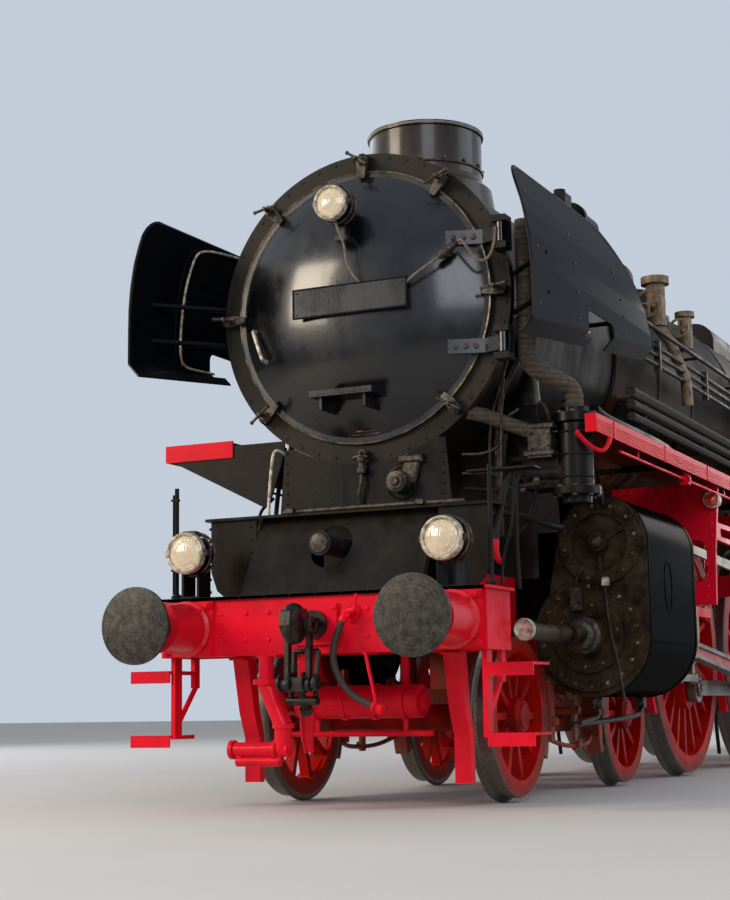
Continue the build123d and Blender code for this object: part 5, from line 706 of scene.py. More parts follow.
# Inside each, a bent rod edges the riveted stiffening sheet that meets the stays.
# It is given pale worn nickel as a painted highlight: one thin bright line down the black inner face, with
# rivets just behind it.
for side, name in ((1, "left"), (-1, "right")):
    make(f"wing_edge_rod_painted_highlight_{name}", "engine", worn_nickel,
         tube(at([(side * 1.214, 1.860, 3.705), (side * 1.224, 1.480, 3.672), (side * 1.238, 1.335, 3.635),
                  (side * 1.262, 1.300, 3.560), (side * 1.321, 1.292, 3.364), (side * 1.346, 1.288, 3.160),
                  (side * 1.352, 1.281, 2.980), (side * 1.352, 1.290, 2.890), (side * 1.350, 1.345, 2.850),
                  (side * 1.350, 1.450, 2.850), (side * 1.362, 1.740, 2.872)]), 0.009))
    make(f"wing_inner_rivets_{name}", "engine", rubbed_edge,
         set_out(rivet(0.009), [(side * (1.366 - 0.042 * max(0, z - 3.1) / 0.3), 1.325, z)
                                for z in np.arange(2.86, 3.41, 0.11)], (-side, 0, 0), (0, 0, 1)))

# Cylinders: cast iron, their covers held by nuts on studs, with a gloss sheet jacket clamped by bands.
# The eye gets greasy brown metal with rings of oily bright nuts and a domed gland, then glossy
# blue-black sheet, and thin copper-brown drain pipes down the front.
cylinder_metal, tree, place = finish_of("oily cylinder covers and gloss jacket")
split = add(tree, "ShaderNodeSeparateXYZ", {0: place})
front, back = at([(0, 2.302, 0)])[0][1], at([(0, 3.448, 0)])[0][1]
ahead = add(tree, "ShaderNodeMath", {0: split.outputs["Y"], 1: float(front)}, operation="LESS_THAN")
behind = add(tree, "ShaderNodeMath", {0: split.outputs["Y"], 1: float(back)}, operation="GREATER_THAN")
cover = add(tree, "ShaderNodeMath", {0: ahead.outputs[0], 1: behind.outputs[0]}, operation="MAXIMUM")
grease = add(tree, "ShaderNodeTexNoise", {"Vector": place, "Scale": 8.0, "Detail": 9.0, "Roughness": 0.7})
spread = add(tree, "ShaderNodeMapRange", {"Value": grease.outputs["Fac"], "From Min": 0.34, "From Max": 0.76})
iron = add(tree, "ShaderNodeMix", {0: spread.outputs[0], 6: linear("1B1610"), 7: linear("524432")},
           data_type="RGBA").outputs[2]
sheet = add(tree, "ShaderNodeMix", {0: spread.outputs[0], 6: linear("040507"), 7: linear("0A0A0C")},
            data_type="RGBA").outputs[2]
tone = add(tree, "ShaderNodeMix", {0: cover.outputs[0], 6: sheet, 7: iron}, data_type="RGBA").outputs[2]
rough = add(tree, "ShaderNodeMapRange", {"Value": spread.outputs[0], "To Min": 0.24, "To Max": 0.44})
lumps = add(tree, "ShaderNodeBump", {"Height": grease.outputs["Fac"], "Strength": 0.15, "Distance": 0.004})
metal = add(tree, "ShaderNodeBsdfPrincipled", {"Base Color": tone, "Roughness": rough.outputs[0],
                                               "Normal": lumps.outputs[0], "Specular IOR Level": 0.0,
                                               "Coat Weight": 0.07, "Coat Roughness": 0.15})
add(tree, "ShaderNodeOutputMaterial", {"Surface": metal.outputs[0]})
dress(cylinder_metal, "cylinders")

oily_steel, tree, place = finish_of("oil-wet bolt steel")
film = add(tree, "ShaderNodeTexNoise", {"Vector": place, "Scale": 40.0, "Detail": 6.0})
share = add(tree, "ShaderNodeMapRange", {"Value": film.outputs["Fac"], "From Min": 0.36, "From Max": 0.64})
tone = add(tree, "ShaderNodeMix", {0: share.outputs[0], 6: linear("8E8474"), 7: linear("3A3024")},
           data_type="RGBA").outputs[2]
rough = add(tree, "ShaderNodeMapRange", {"Value": share.outputs[0], "To Min": 0.18, "To Max": 0.45})
wet = add(tree, "ShaderNodeBsdfPrincipled", {"Base Color": tone, "Metallic": 0.8,
                                             "Roughness": rough.outputs[0]})
add(tree, "ShaderNodeOutputMaterial", {"Surface": wet.outputs[0]})
aged_copper, tree, place = finish_of("oil-browned copper pipe")
tarnish = add(tree, "ShaderNodeTexNoise", {"Vector": place, "Scale": 16.0, "Detail": 7.0})
share = add(tree, "ShaderNodeMapRange", {"Value": tarnish.outputs["Fac"], "From Min": 0.38, "From Max": 0.62})
tone = add(tree, "ShaderNodeMix", {0: share.outputs[0], 6: linear("3F3024"), 7: linear("1A1511")},
           data_type="RGBA").outputs[2]
skin = add(tree, "ShaderNodeBsdfPrincipled", {"Base Color": tone, "Metallic": 0.7, "Roughness": 0.4})
add(tree, "ShaderNodeOutputMaterial", {"Surface": skin.outputs[0]})

# Centres of piston and piston valve, out from the middle and up, and the jacket's radius about each.
piston_line, valve_line = (1.130, 1.000), (1.215, 1.600)
jacket_radii = (0.390, 0.305)
jacket_turn = np.linspace(0, 2 * np.pi, 96, endpoint=False)
ways = np.column_stack([np.cos(jacket_turn), np.sin(jacket_turn)])
rounds = np.array((piston_line, valve_line))
reach = ways @ rounds.T + jacket_radii
outline = rounds[reach.argmax(1)] + ways * np.array(jacket_radii)[reach.argmax(1)][:, None]
cylinder_parts, band_parts, gland_parts, pipe_parts = [], [], [], []
for side in (1, -1):
    for radius, behind, count, (x, z), size in ((0.318, 2.258, 18, piston_line, 0.017),
                                                (0.196, 2.226, 10, piston_line, 0.014),
                                                (0.240, 2.250, 12, valve_line, 0.015)):
        around = about(radius, np.arange(count) * 360 / count + 10, behind, x, z, side)
        cylinder_parts += [set_out(nut(size), around), set_out(stud_end(size * 0.55, size * 1.5), around)]
    for behind in (2.312, 3.398):
        rings = []
        for step, out in ((0.0, -0.002), (0.0, 0.004), (0.040, 0.004), (0.040, -0.002)):
            loop = outline + ways * out
            rings.append(np.column_stack([side * loop[:, 0], np.full(96, behind + step), loop[:, 1]])[::side])
        band_parts.append(lofted(at(rings)))
    gland_parts += [set_out(turned([(0.118, -0.002), (0.118, 0.016), (0.104, 0.028), (0.092, 0.030),
                                    (0.090, 0.085), (0.080, 0.092)], 28),
                            [(side * piston_line[0], 2.130, piston_line[1])]),
        set_out(nut(0.020), about(0.104, (45, 135, 225, 315), 2.104, *piston_line, side)),
        set_out(nut(0.040), [(side * valve_line[0], 2.208, valve_line[1])]),
        set_out(stud_end(0.022, 0.055), [(side * valve_line[0], 2.200, valve_line[1])]),
        set_out(slab(0.075, 0.05, 0.13, 0.012), [(side * 1.070, 2.205, 1.165)], *upright),
        set_out(nut(0.026), [(side * 1.070, 2.205, 1.290)], *upright),
        set_out(slab(0.06, 0.06, 0.11, 0.010), [(side * 1.130, 2.400, 0.540), (side * 1.130, 3.340, 0.540)],
                *upright),
        set_out(nut(0.030), [(side * 1.130, 2.368, 0.585), (side * 1.130, 3.308, 0.585)])]
    pipe_parts += [
        tube(at([(side * 1.070, 2.205, 1.30), (side * 1.072, 2.18, 1.36), (side * 1.10, 2.17, 1.40),
                 (side * 1.13, 2.18, 1.45)]), 0.010),
        tube(at([(side * 1.268, 2.200, 1.335), (side * 1.268, 2.17, 1.28), (side * 1.30, 2.16, 1.00),
                 (side * 1.345, 2.16, 0.80), (side * 1.375, 2.16, 0.585)]), 0.010),
        tube(at([(side * 1.130, 2.400, 0.545), (side * 1.130, 2.38, 0.485), (side * 1.12, 2.20, 0.470),
                 (side * 1.12, 2.02, 0.455)]), 0.018),
        tube(at([(side * 1.130, 3.340, 0.545), (side * 1.130, 3.30, 0.485), (side * 1.10, 2.80, 0.462),
                 (side * 1.06, 2.05, 0.440)]), 0.018),
        tube(at([(side * 1.255, 2.26, 1.81), (side * 1.262, 2.20, 1.86), (side * 1.26, 2.20, 1.95),
                 (side * 1.20, 2.30, 2.05)]), 0.012)]
make("cylinder_cover_nuts", "engine", oily_steel, *cylinder_parts)
make("cylinder_jacket_bands", "engine", cylinder_metal, *band_parts)
make("cylinder_glands_and_cocks", "engine", forged_brown, *gland_parts)
make("cylinder_drain_pipes", "engine", aged_copper, *pipe_parts)
make("cylinder_drip_knobs", "engine", worn_nickel,
     set_out(slab(0.040, 0.040, 0.055, 0.008), [(x, 2.195, 1.315) for x in (1.268, -1.268)], *upright))
eyelet = hoop(0.085, 0.004, 56)
make("jacket_side_eyelets", "engine", cylinder_metal,
     *[set_out((eyelet[0] * (1.0, 2.0, 1.0), eyelet[1]), [(side * 1.5205, 2.76, 1.33)], (side, 0, 0))
       for side in (1, -1)])

# In front, the tail rods run in drawn steel tubes, browned by heat and oiled, with a screwed end ring.
# The eye gets one long highlight along a dark brown tube and a pale worn ring at the tip.
browned_tube, tree, place = finish_of("heat-browned tube steel")
browning = add(tree, "ShaderNodeTexNoise", {"Vector": place, "Scale": 7.0, "Detail": 6.0})
share = add(tree, "ShaderNodeMapRange", {"Value": browning.outputs["Fac"], "From Min": 0.36,
                                         "From Max": 0.66})
tone = add(tree, "ShaderNodeMix", {0: share.outputs[0], 6: linear("2A201A"), 7: linear("5C4A3A")},
           data_type="RGBA").outputs[2]
wear = add(tree, "ShaderNodeMapRange", {"Value": browning.outputs["Fac"], "From Min": 0.3, "From Max": 0.7,
                                        "To Min": 0.24, "To Max": 0.42})
tubing = add(tree, "ShaderNodeBsdfPrincipled", {"Base Color": tone, "Metallic": 1.0,
                                                "Roughness": wear.outputs[0]})
add(tree, "ShaderNodeOutputMaterial", {"Surface": tubing.outputs[0]})
tube_ends = [(side * piston_line[0], 1.062, piston_line[1]) for side in (1, -1)]
make("cylinder_tail_rod_tubes", "engine", browned_tube,
     set_out(turned([(0.0575, 0.0), (0.0575, 0.995)], 28), [(x, 2.085, z) for x, _, z in tube_ends]))
make("tail_rod_end_rings", "engine", worn_nickel,
     set_out(turned([(0.066, -0.004), (0.066, 0.014), (0.058, 0.022), (0.046, 0.014), (0.010, 0.012)], 28),
             tube_ends))

# Lagged pipes: steel pipe wound with cotton tape and sized, dull grey-brown.
# The eye gets close wound turns about 35 mm apart with soot in the laps.
lagging_tape, tree, place = finish_of("sized cotton lagging tape")
turns = add(tree, "ShaderNodeTexWave", {"Vector": place, "Scale": 9.0, "Distortion": 1.5, "Detail": 2.0},
            bands_direction="Z")
fluff = add(tree, "ShaderNodeTexNoise", {"Vector": place, "Scale": 30.0, "Detail": 7.0})
tone = add(tree, "ShaderNodeMix", {0: fluff.outputs["Fac"], 6: linear("2A241D"), 7: linear("6A5D4C")},
           data_type="RGBA").outputs[2]
laps = add(tree, "ShaderNodeMapRange", {"Value": turns.outputs["Fac"], "From Min": 0.0, "From Max": 0.35,
                                        "To Min": 0.5, "To Max": 0.0})
tone = add(tree, "ShaderNodeMix", {0: laps.outputs[0], 6: tone, 7: linear("14110E")},
           data_type="RGBA").outputs[2]
split = add(tree, "ShaderNodeSeparateXYZ", {0: place})
start, finish = at([(0, 3.0, 0), (0, 3.7, 0)])[:, 1].tolist()
oiled = add(tree, "ShaderNodeMapRange", {"Value": split.outputs["Y"], "From Min": start, "From Max": finish,
                                         "To Max": 0.72})
tone = add(tree, "ShaderNodeMix", {0: oiled.outputs[0], 6: tone, 7: linear("181410")},
           data_type="RGBA").outputs[2]
lap_bump = add(tree, "ShaderNodeBump", {"Height": turns.outputs["Fac"], "Strength": 0.5, "Distance": 0.006})
cloth = add(tree, "ShaderNodeBsdfPrincipled", {"Base Color": tone, "Roughness": 0.85,
                                               "Normal": lap_bump.outputs[0]})
add(tree, "ShaderNodeOutputMaterial", {"Surface": cloth.outputs[0]})
dress(lagging_tape, "left_pipes")

# Feed pump: an iron cylinder between bolted flanges, with its water valves beside it on the bracket.
# The eye gets square-cut nuts round each flange, a clack box and pipes of several sizes dropping to the deck.
pump_turn = np.radians(np.arange(0, 360, 45) + 12)
pump_way = np.column_stack([np.cos(pump_turn), np.sin(pump_turn), 0 * pump_turn])
pump_foot = np.array((1.250, 1.740, 0.0))
make("feed_pump_nuts", "engine", forged_brown,
     set_out(nut(0.017), pump_foot + pump_way * 0.118 + (0, 0, 2.360), *upright),
     set_out(nut(0.018), pump_foot + pump_way * 0.130 + (0, 0, 1.895), *upright),
     set_out(nut(0.018), pump_foot + pump_way * 0.130 + (0, 0, 1.850), (0, 0, -1), (0, 1, 0)),
     set_out(slab(0.15, 0.12, 0.20, 0.015), [(1.060, 1.660, 2.085)], *upright),
     set_out(slab(0.19, 0.15, 0.028, 0.006), [(1.060, 1.660, 2.10), (1.060, 1.660, 2.27)], *upright),
     set_out(nut(0.016), [(x, 1.60, z) for x in (1.00, 1.12) for z in (2.14, 2.24)]),
     set_out(nut(0.024), [(0.930, 1.640, 1.90), (1.02, 1.655, 1.95)]))
make("feed_pump_bands", "engine", soot_enamel,
     *[set_out(hoop(0.110, 0.007, 48), [(1.250, 1.740, z)], *upright) for z in (1.96, 2.10, 2.24)])
make("front_drop_pipes", "engine", aged_copper,
     tube(at([(1.005, 1.62, 2.98), (0.985, 1.60, 2.82), (0.870, 1.60, 2.62), (0.800, 1.58, 2.45),
              (0.800, 1.56, 2.20), (0.806, 1.55, 1.90), (0.806, 1.55, 1.60)]), 0.027, 14),
     tube(at([(0.955, 1.42, 2.78), (0.865, 1.46, 2.52), (0.790, 1.48, 2.35), (0.775, 1.48, 2.10),
              (0.78, 1.48, 1.80)]), 0.010),
     tube(at([(0.905, 1.42, 2.62), (0.870, 1.45, 2.30), (0.862, 1.45, 2.05), (0.862, 1.45, 1.80)]), 0.008),
     tube(at([(0.62, 1.40, 2.11), (0.74, 1.46, 2.11), (0.83, 1.52, 2.16), (0.85, 1.55, 2.34),
              (0.93, 1.60, 2.40)]), 0.014),
     tube(at([(0.62, 1.40, 1.99), (0.74, 1.46, 1.99), (0.86, 1.52, 2.01), (0.93, 1.60, 2.02)]), 0.012),
     tube(at([(0.62, 1.42, 1.90), (0.80, 1.46, 1.88), (0.98, 1.50, 1.90), (1.10, 1.60, 1.93)]), 0.015),
     tube(at([(1.05, 1.64, 2.30), (1.05, 1.60, 2.38), (1.09, 1.56, 2.44), (1.13, 1.58, 2.36),
              (1.13, 1.62, 2.28)]), 0.012))
casing_line = at([(0.890, 1.90, 2.70), (0.880, 1.90, 2.52), (0.875, 1.90, 2.40), (0.870, 1.90, 2.20),
                  (0.870, 1.90, 1.98)])
wide = np.array([0.060, 0.085, 0.110, 0.135, 0.150])
turn = np.linspace(0, 2 * math.pi, 24, endpoint=False)
casing = casing_line[:, None] + wide[:, None, None] * np.stack([np.cos(turn), np.sin(turn), 0 * turn], axis=1)
make("steam_pipe_casing", "engine", aged_copper, lofted(casing),
     set_out(hoop(0.112, 0.008, 32), [(0.875, 1.90, 2.40)], *upright),
     set_out(hoop(0.150, 0.010, 32), [(0.870, 1.90, 2.00)], *upright))
make("deck_side_boxes", "engine", soot_enamel,
     set_out(slab(0.20, 0.16, 0.16, 0.012), [(1.02, 1.76, 2.20)], *upright),
     set_out(slab(0.26, 0.20, 0.030, 0.006), [(1.02, 1.76, 2.29), (0.98, 1.76, 2.08)], *upright),
     set_out(nut(0.018), [(x, 1.76, 2.306) for x in (0.92, 1.00, 1.08)], *upright),
     tube(at([(0.70, 1.46, 1.72), (0.90, 1.48, 1.74), (1.02, 1.54, 1.70), (1.10, 1.66, 1.66),
              (1.12, 1.80, 1.66)]), 0.020),
     tube(at([(0.70, 1.44, 1.60), (0.86, 1.46, 1.58), (0.96, 1.52, 1.62), (1.00, 1.62, 1.78),
              (1.02, 1.74, 2.06)]), 0.013))
make("front_lagged_branch", "engine", lagging_tape,
     tube(at([(0.665, 1.38, 2.372), (0.74, 1.44, 2.36), (0.85, 1.53, 2.315), (0.96, 1.62, 2.27),
              (1.03, 1.65, 2.25)]), 0.046, 14))
make("deck_drop_pipes", "engine", soot_enamel,
     tube(at([(0.960, 1.36, 1.95), (0.958, 1.22, 1.86), (0.958, 1.15, 1.70), (0.965, 1.06, 1.60),
              (0.99, 0.99, 1.50)]), 0.024),
     tube(at([(1.010, 1.38, 1.95), (1.010, 1.30, 1.90), (1.015, 1.28, 1.70), (1.02, 1.26, 1.50),
              (1.03, 1.26, 1.25)]), 0.014))
make("deck_cock_lever", "engine", signal_enamel,
     tube(at([(0.99, 0.99, 1.52), (1.00, 0.96, 1.45), (1.02, 0.94, 1.40), (1.05, 0.94, 1.39)]), 0.020))

# Check valves: cast bronze bodies, limed and browned by steam, with a boxed flange and a forged hand wheel.
# The eye gets a warm tan casting, darker in the corners, against the black boiler.
valve_bronze, tree, place = finish_of("limed bronze valve bodies")
scale = add(tree, "ShaderNodeTexNoise", {"Vector": place, "Scale": 16.0, "Detail": 8.0, "Roughness": 0.65})
share = add(tree, "ShaderNodeMapRange", {"Value": scale.outputs["Fac"], "From Min": 0.36, "From Max": 0.68})
tone = add(tree, "ShaderNodeMix", {0: share.outputs[0], 6: linear("8C7252"), 7: linear("41342A")},
           data_type="RGBA").outputs[2]
crust = add(tree, "ShaderNodeBump", {"Height": scale.outputs["Fac"], "Strength": 0.35, "Distance": 0.003})
bronze = add(tree, "ShaderNodeBsdfPrincipled", {"Base Color": tone, "Metallic": 0.25, "Roughness": 0.5,
                                                "Normal": crust.outputs[0]})
add(tree, "ShaderNodeOutputMaterial", {"Surface": bronze.outputs[0]})
dress(valve_bronze, "check_valves")

# Running boards: chequered steel treads, black underneath, their edge strips and front ends in red.
# The eye gets a red line along the engine with fine parallel shades in it, and dark steel about it.
board_finish, tree, place = finish_of("black treads with red edge strips")
split = add(tree, "ShaderNodeSeparateXYZ", {0: place})
side = add(tree, "ShaderNodeMath", {0: split.outputs["X"]}, operation="ABSOLUTE")
strip = add(tree, "ShaderNodeMath", {0: side.outputs[0], 1: 1.4615}, operation="GREATER_THAN")
right_front, left_front = at([(0, 1.3115, 0), (0, 1.4925, 0)])[:, 1].tolist()
end = add(tree, "ShaderNodeMath", {0: split.outputs["Y"], 1: right_front}, operation="LESS_THAN")
near = add(tree, "ShaderNodeMath", {0: split.outputs["Y"], 1: left_front}, operation="LESS_THAN")
outer = add(tree, "ShaderNodeMath", {0: split.outputs["X"], 1: 1.39}, operation="GREATER_THAN")
corner = add(tree, "ShaderNodeMath", {0: near.outputs[0], 1: outer.outputs[0]}, operation="MULTIPLY")
ends = add(tree, "ShaderNodeMath", {0: end.outputs[0], 1: corner.outputs[0]}, operation="MAXIMUM")
red_share = add(tree, "ShaderNodeMath", {0: strip.outputs[0], 1: ends.outputs[0]}, operation="MAXIMUM")
grime = add(tree, "ShaderNodeTexNoise", {"Vector": place, "Scale": 7.0, "Detail": 8.0})
red = add(tree, "ShaderNodeMix", {0: grime.outputs["Fac"], 6: linear("E8122A"), 7: linear("BA0E1C")},
          data_type="RGBA").outputs[2]
black = add(tree, "ShaderNodeMix", {0: grime.outputs["Fac"], 6: linear("0B0B0C"), 7: linear("2C2722")},
            data_type="RGBA").outputs[2]
tone = add(tree, "ShaderNodeMix", {0: red_share.outputs[0], 6: black, 7: red}, data_type="RGBA").outputs[2]
checks = add(tree, "ShaderNodeTexVoronoi", {"Vector": place, "Scale": 70.0}, distance="MANHATTAN")
tread = add(tree, "ShaderNodeBump", {"Height": checks.outputs["Distance"], "Strength": 0.12,
                                     "Distance": 0.002})
board = add(tree, "ShaderNodeBsdfPrincipled", {"Base Color": tone, "Roughness": 0.36,
                                               "Normal": tread.outputs[0], "Specular IOR Level": 0.08})
add(tree, "ShaderNodeOutputMaterial", {"Surface": board.outputs[0]})
dress(board_finish, "running_boards")

# Five raised beads are pressed along the strip, with a cover strap at each joint, and a thin red rod
# hangs on hooks below.
edge_parts = []
for side, first in ((1, 1.490), (-1, 1.320)):
    length = 12.880 - first
    rows = [(side * 1.4735, first + length / 2, z) for z in (2.214, 2.229, 2.244, 2.259, 2.274)]
    edge_parts.append(set_out(slab(length, 0.0055, 0.0045, 0.0015), rows, (side, 0, 0), (0, 0, 1)))
    straps = [(side * 1.4735, behind, 2.256) for behind in np.arange(first + 0.35, 12.8, 1.15)]
    edge_parts.append(set_out(slab(0.024, 0.104, 0.006, 0.002), straps, (side, 0, 0), (0, 0, 1)))
    hooks = [(side * 1.440, behind, 2.150) for behind in np.arange(2.45, 12.8, 1.15)]
    edge_parts.append(set_out(slab(0.008, 0.020, 0.055, 0.002), hooks, *upright))
make("running_board_beads", "engine", signal_enamel, *edge_parts)
reach_rods = [tube(at([(side * 1.440, 2.05, 2.150), (side * 1.440, 7.0, 2.148),
                       (side * 1.440, 12.85, 2.150)]), 0.010) for side in (1, -1)]
make("running_board_reach_rods", "engine", signal_enamel, *reach_rods,
     set_out(slab(0.07, 0.05, 0.075, 0.012), [(1.440, 3.60, 2.110), (-1.440, 3.60, 2.110)], *upright),
     set_out(nut(0.024), [(1.462, 3.60, 2.150)], (1, 0, 0)),
     tube(at([(1.33, 1.53, 2.215), (1.36, 1.62, 2.15), (1.43, 1.70, 2.10), (1.455, 1.76, 2.15),
              (1.462, 1.78, 2.205)]), 0.014))
make("board_top_pipe", "engine", soot_enamel,
     tube(at([(1.335, 1.86, 2.40), (1.36, 1.98, 2.355), (1.38, 2.30, 2.345), (1.38, 3.30, 2.345),
              (1.34, 3.60, 2.33), (1.24, 3.80, 2.32)]), 0.040, 14))

# Small red tail lamp on the motion bracket: a turned brass body behind ruby glass.
# The eye gets a deep red bead in a worn bright ring.
ruby_glass, tree, place = finish_of("ruby signal glass")
ripple = add(tree, "ShaderNodeTexNoise", {"Vector": place, "Scale": 50.0, "Detail": 3.0})
tone = add(tree, "ShaderNodeMix", {0: ripple.outputs["Fac"], 6: linear("C02414"), 7: linear("E8562C")},
           data_type="RGBA").outputs[2]
wave = add(tree, "ShaderNodeBump", {"Height": ripple.outputs["Fac"], "Strength": 0.3, "Distance": 0.002})
bead = add(tree, "ShaderNodeBsdfPrincipled", {"Base Color": tone, "Roughness": 0.1, "Normal": wave.outputs[0],
                                              "Coat Weight": 0.8})
add(tree, "ShaderNodeOutputMaterial", {"Surface": bead.outputs[0]})
glass, rim = lamp_front(0.062)
make("side_lamp_glass", "engine", ruby_glass, set_out(glass, [(1.400, 4.500, 2.100)]))
make("side_lamp_body", "engine", worn_nickel, set_out(rim, [(1.400, 4.500, 2.100)]),
     set_out(turned([(0.054, -0.10), (0.060, -0.09), (0.060, 0.0), (0.054, 0.004)], 24),
             [(1.400, 4.500, 2.100)]))

# Boiler and firebox: thin planished sheet over lagging, black, faded brown by heat and hard water.
# The eye gets level clouds of brown on top, and rusty blooms where valves have leaked down the side.
boiler_sheet, tree, place = finish_of("heat-browned boiler cladding")
patches = add(tree, "ShaderNodeTexNoise", {"Vector": place, "Scale": 1.7, "Detail": 9.0, "Roughness": 0.65})
stretched = add(tree, "ShaderNodeMapping", {"Vector": place, "Scale": (4.0, 4.0, 1.6)})
streaks = add(tree, "ShaderNodeTexNoise", {"Vector": stretched.outputs[0], "Scale": 1.0, "Detail": 9.0,
                                           "Roughness": 0.7})
share = add(tree, "ShaderNodeMapRange", {"Value": patches.outputs["Fac"], "From Min": 0.4, "From Max": 0.68})
tone = add(tree, "ShaderNodeMix", {0: share.outputs[0], 6: linear("0A0908"), 7: linear("2C231B")},
           data_type="RGBA").outputs[2]
split = add(tree, "ShaderNodeSeparateXYZ", {0: place})
low = add(tree, "ShaderNodeMapRange", {"Value": split.outputs["Z"], "From Min": 3.15, "From Max": 2.6})
leaked = add(tree, "ShaderNodeMapRange", {"Value": streaks.outputs["Fac"], "From Min": 0.44,
                                          "From Max": 0.72})
start, finish = at([(0, 5.2, 0), (0, 7.6, 0)])[:, 1].tolist()
near = add(tree, "ShaderNodeMapRange", {"Value": split.outputs["Y"], "From Min": start, "From Max": finish,
                                        "To Min": 0.9, "To Max": 0.25})
lower = add(tree, "ShaderNodeMath", {0: low.outputs[0], 1: near.outputs[0]}, operation="MULTIPLY")
rusty = add(tree, "ShaderNodeMath", {0: lower.outputs[0], 1: leaked.outputs[0]}, operation="MULTIPLY")
tone = add(tree, "ShaderNodeMix", {0: rusty.outputs[0], 6: tone, 7: linear("7A4426")},
           data_type="RGBA").outputs[2]
rough = add(tree, "ShaderNodeMapRange", {"Value": streaks.outputs["Fac"], "To Min": 0.35, "To Max": 0.65})
dents = add(tree, "ShaderNodeBump", {"Height": patches.outputs["Fac"], "Strength": 0.25, "Distance": 0.01})
cladding = add(tree, "ShaderNodeBsdfPrincipled", {"Base Color": tone, "Roughness": rough.outputs[0],
                                                  "Normal": dents.outputs[0], "Specular IOR Level": 0.03})
add(tree, "ShaderNodeOutputMaterial", {"Surface": cladding.outputs[0]})
dress(boiler_sheet, "boiler_barrel", "firebox")

# Along each side run three conduit pipes on clips; washout plugs sit on the firebox, and sand pipes
# drop to the wheels. The eye gets long dark lines converging along the barrel and small brown plugs.
pipe_lines, clip_places = [], []
for side in (1, -1):
    for x, z in ((1.150, 3.235), (1.160, 3.160), (1.163, 3.085)):
        pipe_lines.append(tube(at([(side * (x - 0.06), 3.42, z), (side * x, 3.62, z), (side * x, 8.0, z),
                                   (side * x, 12.88, z)]), 0.017))
    clip_places += [(side * 1.128, behind, 3.160) for behind in (4.05, 5.45, 6.95, 8.35, 9.75, 11.20, 12.60)]
make("boiler_conduits", "engine", soot_enamel, *pipe_lines)
make("boiler_conduit_clips", "engine", forged_brown,
     set_out(slab(0.030, 0.24, 0.050, 0.004), [p for p in clip_places if p[0] > 0], (1, 0, 0), (0, 0, 1)),
     set_out(slab(0.030, 0.24, 0.050, 0.004), [p for p in clip_places if p[0] < 0], (-1, 0, 0), (0, 0, 1)))
plug_deg = np.radians((18, 38, 58))
plug_out = 1.083
plugs = [(side * plug_out * math.cos(a), behind, boiler_axis + plug_out * math.sin(a)) for side in (1, -1)
         for a in plug_deg for behind in (11.30, 11.80, 12.30, 12.70)]
plug_axes = [(side * math.cos(a), 0, math.sin(a)) for side in (1, -1) for a in plug_deg for _ in range(4)]
make("firebox_washout_plugs", "engine", aged_copper,
     set_out(turned([(0.045, -0.006), (0.045, 0.010), (0.036, 0.016), (0.020, 0.016), (0.018, 0.034),
                     (0.012, 0.036)], 14), plugs, plug_axes, (0, 1, 0)))
sand_lines = []
for side in (1, -1):
    for behind, foot in ((6.90, 6.93), (9.20, 9.23)):
        sand_lines.append(tube(at([(side * 1.07, behind, 3.55), (side * 1.125, behind, 3.30),
                                   (side * 1.125, behind, 2.90), (side * 1.05, behind, 2.50),
                                   (side * 1.03, behind, 2.32)]), 0.022))
        sand_lines.append(tube(at([(side * 0.93, foot, 2.26), (side * 0.80, foot, 1.90),
                                   (side * 0.745, foot, 1.20), (side * 0.745, foot, 0.40),
                                   (side * 0.745, foot + 0.08, 0.12)]), 0.018))
make("sand_pipes", "engine", soot_enamel, *sand_lines)

# Cab sides: steel sheet on angles; each window has a bolted frame, and ribs stiffen the arched roof.
# The eye gets thin raised frames, rivet rows along foot, eave and corners, and grab rails at the doorway.
frame_parts, cab_heads = [], []
for side in (1, -1):
    for behind in (13.56, 14.48):
        for width, height, y, z in ((0.78, 0.036, behind, 2.672), (0.78, 0.036, behind, 3.348),
                                    (0.036, 0.640, behind - 0.368, 3.01),
                                    (0.036, 0.640, behind + 0.368, 3.01)):
            frame_parts.append(set_out(slab(width, height, 0.014, 0.004), [(side * 1.524, y, z)],
                                       (side, 0, 0), (0, 0, 1)))
        cab_heads += [(side * 1.537, behind + a, z) for a in np.arange(-0.33, 0.34, 0.11)
                      for z in (2.672, 3.348)]
    for front_s, x_mid, z_mid, wide, tall, axis in ((12.901, 1.290, 3.120, 0.250, 0.560, -1),
                                                    (15.639, 1.020, 3.010, 0.420, 0.460, 1)):
        for width, height, x, z in ((wide + 0.06, 0.030, x_mid, z_mid - tall / 2 - 0.015),
                                    (wide + 0.06, 0.030, x_mid, z_mid + tall / 2 + 0.015),
                                    (0.030, tall, x_mid - wide / 2 - 0.015, z_mid),
                                    (0.030, tall, x_mid + wide / 2 + 0.015, z_mid)):
            frame_parts.append(set_out(slab(width, height, 0.014, 0.004), [(side * x, front_s, z)],
                                       (0, axis, 0), (0, 0, 1)))
    rows = [(side * 1.525, behind, 3.440) for behind in np.arange(12.98, 15.60, 0.09)]
    rows += [(side * 1.525, behind, 1.560) for behind in np.arange(13.34, 14.98, 0.09)]
    rows += [(side * 1.525, behind, z) for behind in (12.945, 14.02, 14.955)
             for z in np.arange(1.66, 3.40, 0.09)]
    cab_heads += rows
cab_heads = np.array(cab_heads)
make("cab_window_frames", "engine", cab_enamel, *frame_parts)
make("cab_rivets", "engine", cab_enamel,
     *[set_out(rivet(0.010), cab_heads[cab_heads[:, 0] * side > 0], (side, 0, 0), (0, 0, 1))
       for side in (1, -1)])
grab = []
for side in (1, -1):
    grab.append(tube(at([(side * 1.523, 14.90, 1.90), (side * 1.539, 14.90, 1.92), (side * 1.539, 14.90, 2.5),
                         (side * 1.539, 14.90, 3.06), (side * 1.523, 14.90, 3.08)]), 0.010))
